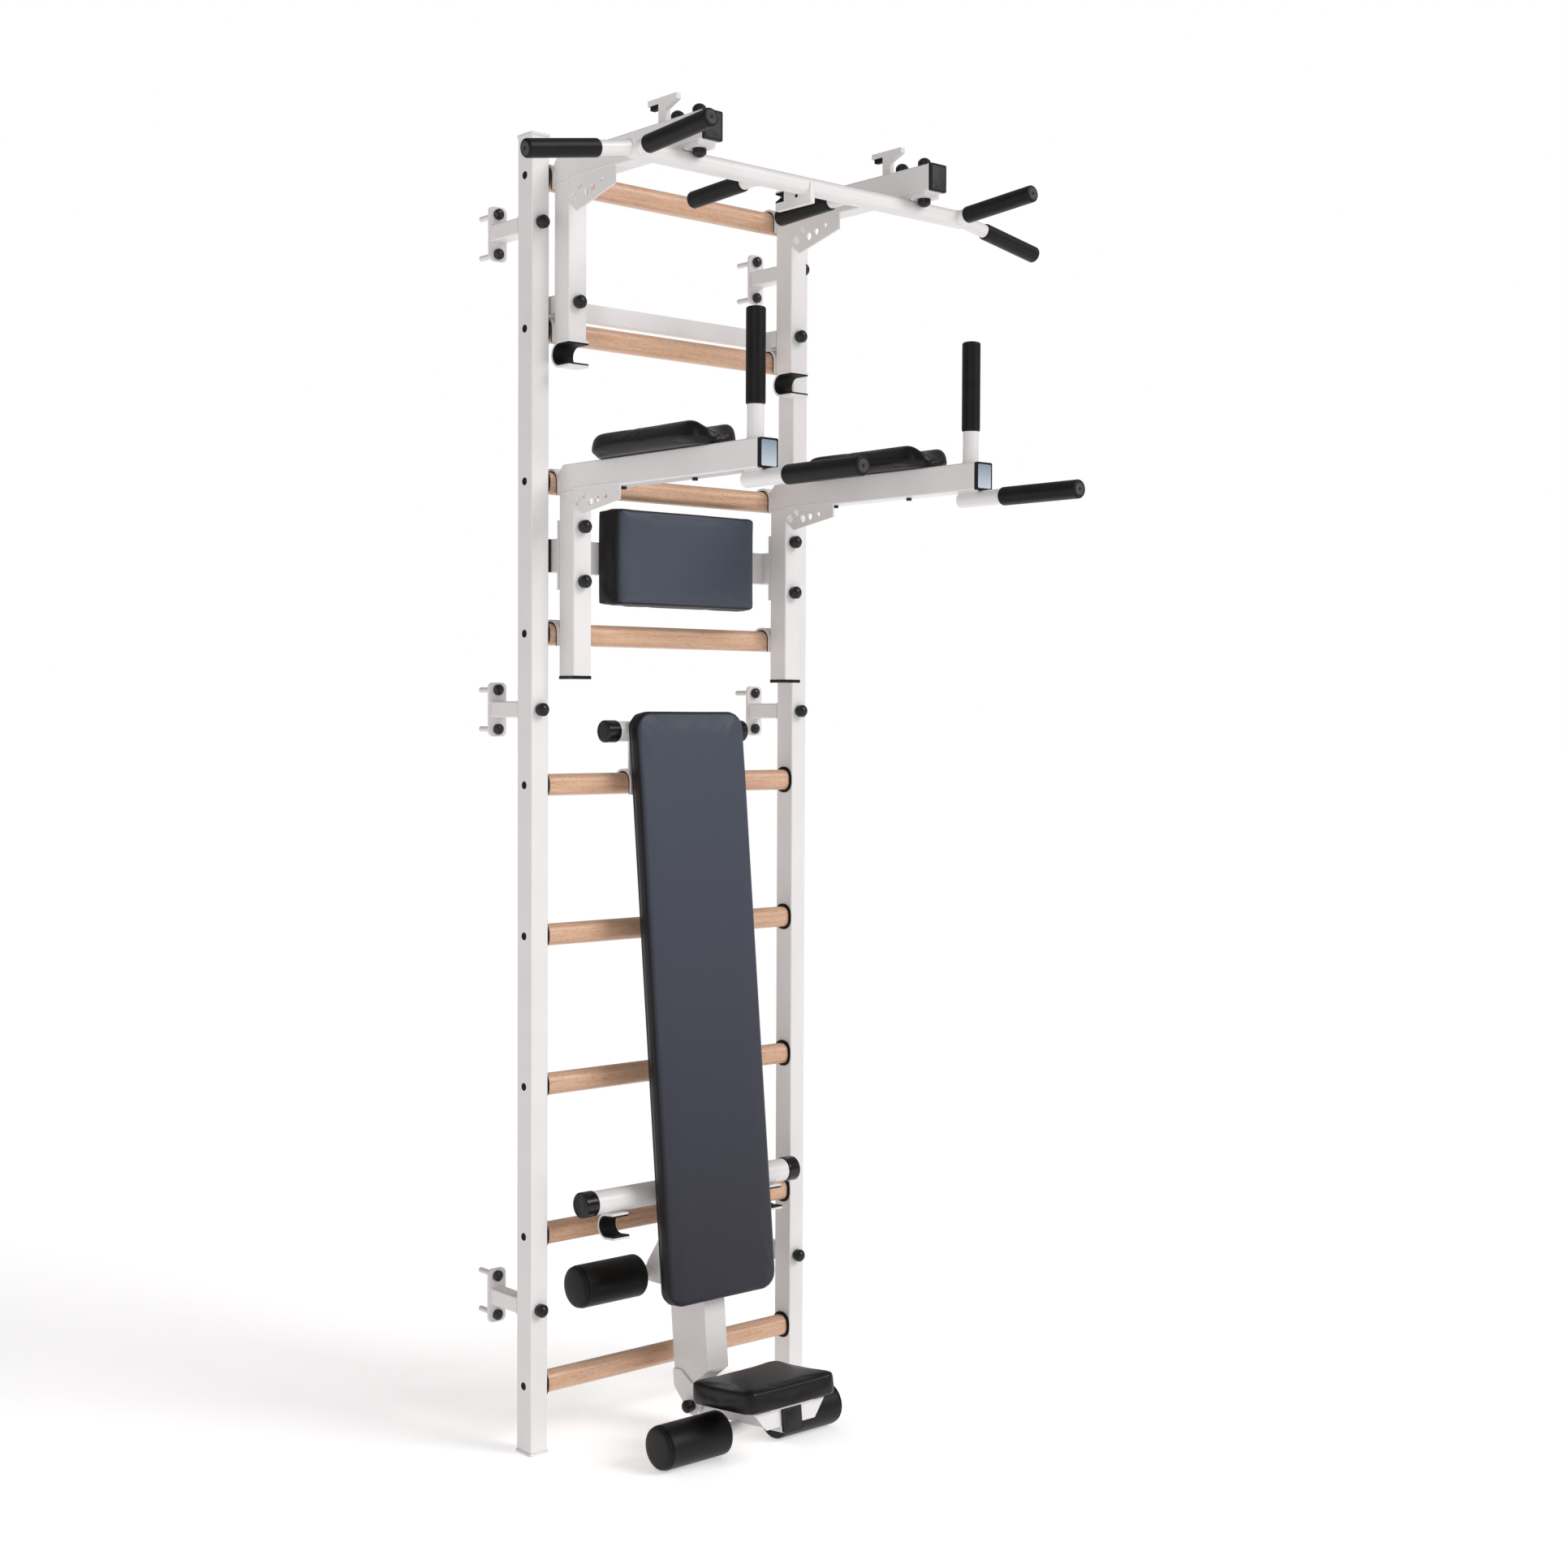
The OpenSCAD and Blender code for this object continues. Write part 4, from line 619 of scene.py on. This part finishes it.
GRIP_END = [(0, -1), (10.5, -1), (11, -0.5), (11, 0.3), (10.4, 0.7), (3.6, 0.7), (3.2, 0.4), (0, 0.4)]
GRIP_DOT = [(0, 0), (2.6, 0), (2.6, 0.6), (2.2, 0.9), (0, 0.9)]
AXLE_CAP = [
    (0, 0), (38, 0), (38.6, 0.6), (38.2, 2.2), (36.6, 3.9), (33.5, 5.1), (27, 5.9), (14, 6.4), (0, 6.6)]
THICK_BEAD = 1.7
BEAD = 1.5
FINE_BEAD = 0.9
SEAM_BEAD = 0.8


def grip_places():
    """Free ends of the grips, as places with Z along the grip, for each unit."""
    pull, dip = [], []
    for side in (-1, 1):
        ways = ((WIDE_HANDLE, "Y", side), (NEUTRAL_HANDLE, "X", 1), (CLOSE_HANDLE, "X", 1))
        for (x, tilt, end), axis, sense in ways:
            foot = place(front(side * x, *PULL_BAR), turn(sense * math.radians(tilt), axis))
            pull.append(foot @ shift(0, 0, end))
        dip.append(front(side * DIP_X, DIP_POST_AHEAD, DIP_ARM_Z + ARM_H + DIP_POST_H))
        dip.append(place(front(side * DIP_X, DIP_HANDLE_END, DIP_ARM_Z - DIP_BAR_R), turn(math.pi / 2, "X")))
    return {"pull_up_unit": pull, "dip_unit": dip}


def add_grip_ends():
    for body, places in grip_places().items():
        discs, dots = bmesh.new(), bmesh.new()
        for at in places:
            add_lathe(discs, GRIP_END, at)
            add_lathe(dots, GRIP_DOT, at, 20)
        add_object(body + "_grip_ends", discs, "foam_end", body)
        add_object(body + "_grip_dots", dots, "foam", body)


def rectangle_points(width, height, radius=3.0, steps=4):
    return [(x, y, 0) for x, y in round_outline(width / 2, height / 2, radius, steps)]


def line_points(start, end, step, axis):
    """Points at even steps along one axis."""
    return [tuple(at if k == axis else 0 for k in range(3)) for at in range(start, end, step)]


def add_arm_welds(bm, x, arm_z):
    """Beads where an upright meets its arm, and along both faces of the arm's gusset."""
    middle = (UNIT_BACK + UNIT_FRONT) / 2
    add_bead(bm, rectangle_points(TUBE_W, TUBE_D), FINE_BEAD, front(x, middle, arm_z))
    seam = line_points(0, -GUSSET_SEAM - 1, -10, 1)
    for across, lift in ((-TUBE_W / 2 - 0.2, 5), (GUSSET_T - TUBE_W / 2, 0)):
        add_bead(bm, seam, SEAM_BEAD, front(x + across, UNIT_FRONT, arm_z + lift), closed=False)


def add_pull_welds():
    bm = bmesh.new()
    saddle_ahead, saddle_up, saddle_bead = 13.2, 14.2, 1.8
    for side in (-1, 1):
        for x, tilt, _ in (NEUTRAL_HANDLE, CLOSE_HANDLE):
            at = place(front(side * x, *PULL_BAR), turn(math.radians(tilt), "X"))
            add_bead(bm, saddle_points(HOLDER_R + 0.5, PULL_BAR_R + 0.5), THICK_BEAD, at)
        end = place(front(side * (WIDE_HANDLE[0] - 0.5), *PULL_BAR), turn(math.pi / 2, "Y"))
        add_bead(bm, circle_points(HOLDER_R + 1.2), BEAD, end)
        add_arm_welds(bm, side * PULL_X, PULL_ARM_Z)
        for edge in (-1, 1):
            at = front(side * PULL_X, PULL_BAR[0] + edge * saddle_ahead, PULL_BAR[1] + saddle_up)
            add_bead(bm, line_points(-20, 21, 5, 0), saddle_bead, at, closed=False)
    add_object("pull_up_welds", bm, "powder_coat", "pull_up_unit")


def add_dip_welds():
    bm = bmesh.new()
    strap_ahead, strap_half_w, strap_bead = 527, 7.5, 2.2
    for side in (-1, 1):
        top = front(side * DIP_X, DIP_POST_AHEAD, DIP_ARM_Z + ARM_H + 0.4)
        add_bead(bm, circle_points(DIP_BAR_R + 0.8), THICK_BEAD, top)
        add_arm_welds(bm, side * DIP_X, DIP_ARM_Z)
        for edge in (-1, 1):
            at = front(side * DIP_X + edge * strap_half_w, strap_ahead, DIP_ARM_Z - 1)
            add_bead(bm, line_points(0, -46, -5, 1), strap_bead, at, closed=False)
    add_object("dip_welds", bm, "powder_coat", "dip_unit")


def add_wall_welds():
    bm = bmesh.new()
    outline = rectangle_points(BRACKET_TUBE + 0.6, BRACKET_TUBE + 0.6)
    for side in (-1, 1):
        for z in BRACKET_ZS:
            for back in (POST_D / 2 + PLATE_T + 0.3, WALL_BEHIND - PLATE_T - 0.4):
                at = place(front(side * POST_X, -back, z), turn(math.pi / 2, "X"))
                add_bead(bm, outline, BEAD, at)
    add_object("bracket_welds", bm, "powder_coat", "wall_frame")


def add_bench_welds():
    bm = bmesh.new()
    cup_line = [(-CUP_HALF_W, 0, 0), (0, 0, 0), (CUP_HALF_W, 0, 0)]
    for side in (-1, 1):
        for down, depth, radius in (HIGH_TUBE, LOW_TUBE):
            at = on_bench(side * (BEAM_HALF_W + 0.4), down, depth) @ turn(math.pi / 2, "Y")
            add_bead(bm, circle_points(radius + 0.6), THICK_BEAD, at)
        down, depth, radius = LOW_TUBE
        for edge in (5, -5):
            at = on_bench(side * CUP_X, down + radius + 0.2, depth + edge)
            add_bead(bm, cup_line, BEAD, at, closed=False)
    add_object("bench_welds", bm, "powder_coat", "bench")


def add_cap_panels():
    """Raised or inlaid panels in the square end caps."""
    panel = {"depth": 0.9, "radius": 3, "edge": 0.5}
    facing = turn(math.pi / 2, "X")
    for name, x, ahead, z, body, finish in (
            ("pull_up_cap_panels", PULL_X, PULL_ARM_END, PULL_ARM_Z, "pull_up_unit", "cap_grey"),
            ("dip_cap_panels", DIP_X, DIP_ARM_END, DIP_ARM_Z, "dip_unit", "glossy_panel")):
        bm = bmesh.new()
        for side in (-1, 1):
            at = front(side * x, ahead - 0.3, z + ARM_H / 2) @ facing
            add_plate(bm, TUBE_W - 7, ARM_H - 7, matrix=at, **panel)
        add_object(name, bm, finish, body)
    bm = bmesh.new()
    add_plate(bm, TUBE_W - 5, TUBE_W - 5, matrix=on_bench(0, *SEAT_CAP) @ facing, **panel)
    add_object("seat_cap_panel", bm, "black_plastic", "seat")


def add_axle_caps():
    """Soft black ends over the collars that hold the foam rollers."""
    for body, axle in (("bench", HIGH_AXLE), ("seat", LOW_AXLE)):
        bm = bmesh.new()
        for side in (-1, 1):
            at = on_bench(side * (ROLLER_END + 0.2), *axle) @ turn(side * math.pi / 2, "Y")
            add_lathe(bm, AXLE_CAP, at)
        add_object(body + "_axle_caps", bm, "foam", body)


def add_tube_cap_rims():
    """Raised ring on the end of every cross tube cap."""
    bm = bmesh.new()
    ends = ((HIGH_TUBE, HIGH_TUBE_END, 6), (LOW_TUBE, LOW_TUBE_END, 6.5))
    for side in (-1, 1):
        for (down, depth, radius), end, inset in ends:
            at = on_bench(side * end, down, depth) @ turn(math.pi / 2, "Y")
            add_bead(bm, circle_points(radius - inset), SEAM_BEAD, at)
    add_object("tube_cap_rims", bm, "black_gloss", "bench")


def rung_places(x):
    """Both ends of every rung at one distance from the middle, with Z along the rung."""
    for side in (-1, 1):
        for i in range(RUNG_COUNT):
            yield front(side * x, 0, RUNG_FIRST_Z + i * RUNG_PITCH) @ turn(math.pi / 2, "Y")


def add_screw_rims():
    """Black rim round the head of every rung screw, on the posts' outer faces."""
    bm = bmesh.new()
    radius, bead = 6.1, 1.3
    for at in rung_places(POST_X + POST_W / 2 - 0.4):
        add_bead(bm, circle_points(radius, 24), bead, at)
    add_object("screw_rims", bm, "lining_rubber", "wall_frame")


def add_collar_lips():
    """Soft lip round every rung collar, on the posts' inner faces."""
    bm = bmesh.new()
    reach, bead = 4.2, COLLAR_T / 2
    outline = rectangle_points(RUNG_H + 2 * reach, RUNG_D + 2 * reach, RUNG_R + reach, 8)
    for at in rung_places(POST_X - POST_W / 2 - COLLAR_T / 2):
        add_bead(bm, outline, bead, at)
    add_object("collar_lips", bm, "lining_rubber", "wall_frame")


def add_handle_ends():
    """Pale rings round the open rear ends of the dip unit's forward handles."""
    bm = bmesh.new()
    for side in (-1, 1):
        at = place(front(side * DIP_X, DIP_HANDLE_BACK, DIP_ARM_Z - DIP_BAR_R), turn(math.pi / 2, "X"))
        add_bead(bm, circle_points(DIP_BAR_R - 0.9), SEAM_BEAD, at)
    add_object("handle_rims", bm, "powder_coat", "dip_unit")


# Cushions

def bench_cushion():
    mesh = cushion_mesh("bench_cushion", half_w=132.5, half_l=553, depth=33,
                        corner=35, edge=7, crown=3, tuck=2)
    at = on_bench(0, BENCH_PAD_L / 2, BENCH_PAD_T) @ turn(math.pi / 2, "X")
    soft_piece("bench_cushion", mesh, at, "bench", "bench_pad", voxel=6, cap=3)


def seat_cushion():
    mesh = cushion_mesh("seat_cushion", half_w=107, half_l=86.5, depth=41,
                        corner=17, edge=6, crown=2, tuck=3)
    at = on_bench(0, SEAT_PAD_DOWN - REST_GAP, SEAT_PAD_DEPTH)
    soft_piece("seat_cushion", mesh, at, "seat", "seat_pad", voxel=4, cap=2)


def back_cushion():
    """Back pad lofted from foot to head, whose ends leave room for the rungs behind them."""
    half_w, half_l, depth, corner, edge, crown = 172.0, 89.5, 61.0, 22.0, 6.0, 2.0
    end_from, end_back, middle_x = 86, 24, 3
    quarter = [math.pi / 12 * i for i in range(7)]
    foot = [(edge * (1 - math.sin(a)), edge * (1 - math.cos(a)) - half_l) for a in quarter]
    places = foot + [(0, half_l * i / 8) for i in range(-7, 8)]
    places += [(inset, -y) for inset, y in foot[::-1]]
    rings = []
    for inset, y in places:
        top, half = depth - crown - inset, half_w - inset
        flat_w, flat_z = half - corner, top - corner
        arc = [(flat_w + corner * math.cos(a), flat_z + corner * math.sin(a)) for a in quarter]
        flat = [flat_w * (1 - i / 8) for i in range(1, 16)]
        over = [(x, top + crown * math.cos(math.pi / 2 * x / flat_w)) for x in flat]
        back = end_back if abs(y) > end_from else 0
        outline = [(half, back)] + arc + over + [(-x, z) for x, z in arc[::-1]] + [(-half, back)]
        rings.append([(x, y, z) for x, z in outline])
    mesh = loft_mesh("back_cushion", rings)
    at = place(front(middle_x, REST_GAP, BACK_PAD_Z), turn(math.pi / 2, "X"))
    soft_piece("back_cushion", mesh, at, "dip_unit", "dip_back_pad", voxel=5, cap=2)


def arm_cushion(side):
    """Forearm pad lofted from front to rear: domed across, with a shallow trough along it."""
    length, half_w, height, skirt, corner = 319.0, 54.0, 42.0, 11.0, 40.0
    front_ramp, front_start, rear_ramp, trough_depth = 44, 9, 50, 12
    skirts = [(14, 0), (13, 3.5), (5, 4.5), (1.5, 7)]
    rings = []
    for j in range(41):
        share = (1 - math.cos(math.pi * j / 40)) / 2
        from_end = min(share, 1 - share) * length
        rise = math.sin(math.pi / 2 * min(1, (from_end + front_start) / front_ramp))
        if share > 0.5:
            rise = math.sqrt(1 - (1 - min(1, from_end / rear_ramp)) ** 2)
        into = corner - min(from_end, corner)
        half = half_w - corner + math.sqrt(corner * corner - into * into)
        ring = [(half - inset, share * length, z) for inset, z in skirts]
        for i in range(33):
            u = 1 - 2 * i / 32
            dome = math.sqrt(1 - u ** 8)
            trough = trough_depth * rise * math.cos(math.pi / 2 * u) ** 2
            ring.append((half * u, share * length, skirt + (height - skirt) * rise * dome - trough))
        ring += [(inset - half, share * length, z) for inset, z in skirts[::-1]]
        rings.append(ring)
    hand = "left" if side < 0 else "right"
    mesh = loft_mesh("arm_cushion_" + hand, rings)
    at = front(side * DIP_X, UNIT_FRONT + ARM_PAD_REACH, DIP_ARM_Z + ARM_H + REST_GAP)
    soft_piece("arm_cushion_" + hand, mesh, at, "dip_unit", "dip_arm_pad_" + hand, voxel=3.5, cap=1.5)


def soft_piece(name, mesh, matrix, body, replaced, voxel, cap):
    """A cushion that is swollen in its own frame and then put in place of its solid."""
    obj = new_piece(name, mesh, OWN_FINISH.get(replaced, "upholstery"))
    puff(obj, voxel, cap)
    obj.data.transform(matrix)
    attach(obj, body)
    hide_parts(replaced)


# Studio

CAMERA_YAW = math.radians(40.97)
CAMERA_PITCH = math.radians(1.54)
CAMERA_ROLL = math.radians(0.23)
CAMERA_AT = (-2606.6, -3256.1 + MID_Y, 1355.4)
PHOTO_PX = 1932.0
FOCAL_PX = 2680.5
CENTRE_U_PX = 930.8
CENTRE_V_PX = 952.3
SENSOR_MM = 36.0


def make_camera():
    """The photo's own camera, solved from its vanishing points."""
    camera = new_object("camera", bpy.data.cameras.new("camera"))
    forward = Vector((math.sin(CAMERA_YAW) * math.cos(CAMERA_PITCH),
                      math.cos(CAMERA_YAW) * math.cos(CAMERA_PITCH), -math.sin(CAMERA_PITCH)))
    level = Vector((math.cos(CAMERA_YAW), -math.sin(CAMERA_YAW), 0))
    upright = level.cross(forward)
    right = math.cos(CAMERA_ROLL) * level + math.sin(CAMERA_ROLL) * upright
    up = -math.sin(CAMERA_ROLL) * level + math.cos(CAMERA_ROLL) * upright
    matrix = Matrix((right, up, -forward)).transposed().to_4x4()
    matrix.translation = Vector(CAMERA_AT) * MM
    camera.matrix_world = matrix
    camera.data.sensor_width = SENSOR_MM
    camera.data.lens = FOCAL_PX * SENSOR_MM / PHOTO_PX
    camera.data.shift_x = (PHOTO_PX / 2 - CENTRE_U_PX) / PHOTO_PX
    camera.data.shift_y = (CENTRE_V_PX - PHOTO_PX / 2) / PHOTO_PX
    camera.data.clip_end = 100
    bpy.context.scene.camera = camera


def area_light(name, at, target, size, power):
    light = bpy.data.lights.new(name, "AREA")
    light.shape = "RECTANGLE"
    light.size, light.size_y = size
    light.energy = power
    obj = new_object(name, light)
    obj.location = at
    obj.rotation_euler = (Vector(target) - Vector(at)).to_track_quat("-Z", "Y").to_euler()


def make_world():
    """White backdrop for the camera and a softer, faintly warm light for everything else."""
    world = bpy.data.worlds.new("studio")
    bpy.context.scene.world = world
    world.use_nodes = True
    tree = world.node_tree
    ambient = tree.nodes["Background"]
    ambient.inputs["Color"].default_value = (1, 0.965, 0.96, 1)
    ambient.inputs["Strength"].default_value = 0.33
    backdrop = node(tree, "ShaderNodeBackground")
    backdrop.inputs["Color"].default_value = (1, 1, 1, 1)
    backdrop.inputs["Strength"].default_value = 1.0
    path = node(tree, "ShaderNodeLightPath")
    mix = node(tree, "ShaderNodeMixShader")
    tree.links.new(path.outputs["Is Camera Ray"], mix.inputs[0])
    tree.links.new(ambient.outputs[0], mix.inputs[1])
    tree.links.new(backdrop.outputs[0], mix.inputs[2])
    tree.links.new(mix.outputs[0], tree.nodes["World Output"].inputs["Surface"])


def make_floor():
    """Pale floor, the only stage, that runs out to the backdrop."""
    mesh = bpy.data.meshes.new("floor")
    reach = 80
    mesh.from_pydata([(-reach, -reach, 0), (reach, -reach, 0), (reach, reach, 0), (-reach, reach, 0)],
                     [], [(0, 1, 2, 3)])
    floor = new_object("floor", mesh)
    material, tree, shader = new_material("floor", (0.93, 0.93, 0.93), 0.8)
    tint = ramp(tree, noise(tree, coordinates(tree), 0.8, 2), [
        (0.3, (0.92, 0.92, 0.92)), (0.7, (0.94, 0.94, 0.94))])
    tree.links.new(tint, shader.inputs["Base Color"])
    shader.inputs["Specular IOR Level"].default_value = 0.1
    shader.inputs["Emission Color"].default_value = (1, 1, 1, 1)
    shader.inputs["Emission Strength"].default_value = 0.48
    mesh.materials.append(material)


def make_lamps():
    """A broad sun from the front right and a narrow strip from the front left."""
    towards_sun = Vector((0.42, -0.78, 0.62))
    light = bpy.data.lights.new("sun", "SUN")
    light.energy = 1.45
    light.angle = math.radians(28)
    sun = new_object("sun", light)
    sun.rotation_euler = towards_sun.to_track_quat("Z", "Y").to_euler()
    area_light("strip", at=(-3.4, -2.2, 2.6), target=(0, 0.2, 1.3), size=(0.5, 2.6), power=16)


make_camera()
dress_nodes()
bench_cushion()
seat_cushion()
back_cushion()
for side in (-1, 1):
    arm_cushion(side)
add_grip_ends()
add_pull_welds()
add_dip_welds()
add_wall_welds()
add_bench_welds()
add_cap_panels()
add_axle_caps()
add_tube_cap_rims()
add_screw_rims()
add_collar_lips()
add_handle_ends()
make_floor()
make_world()
make_lamps()
bpy.context.scene.view_settings.view_transform = "Standard"
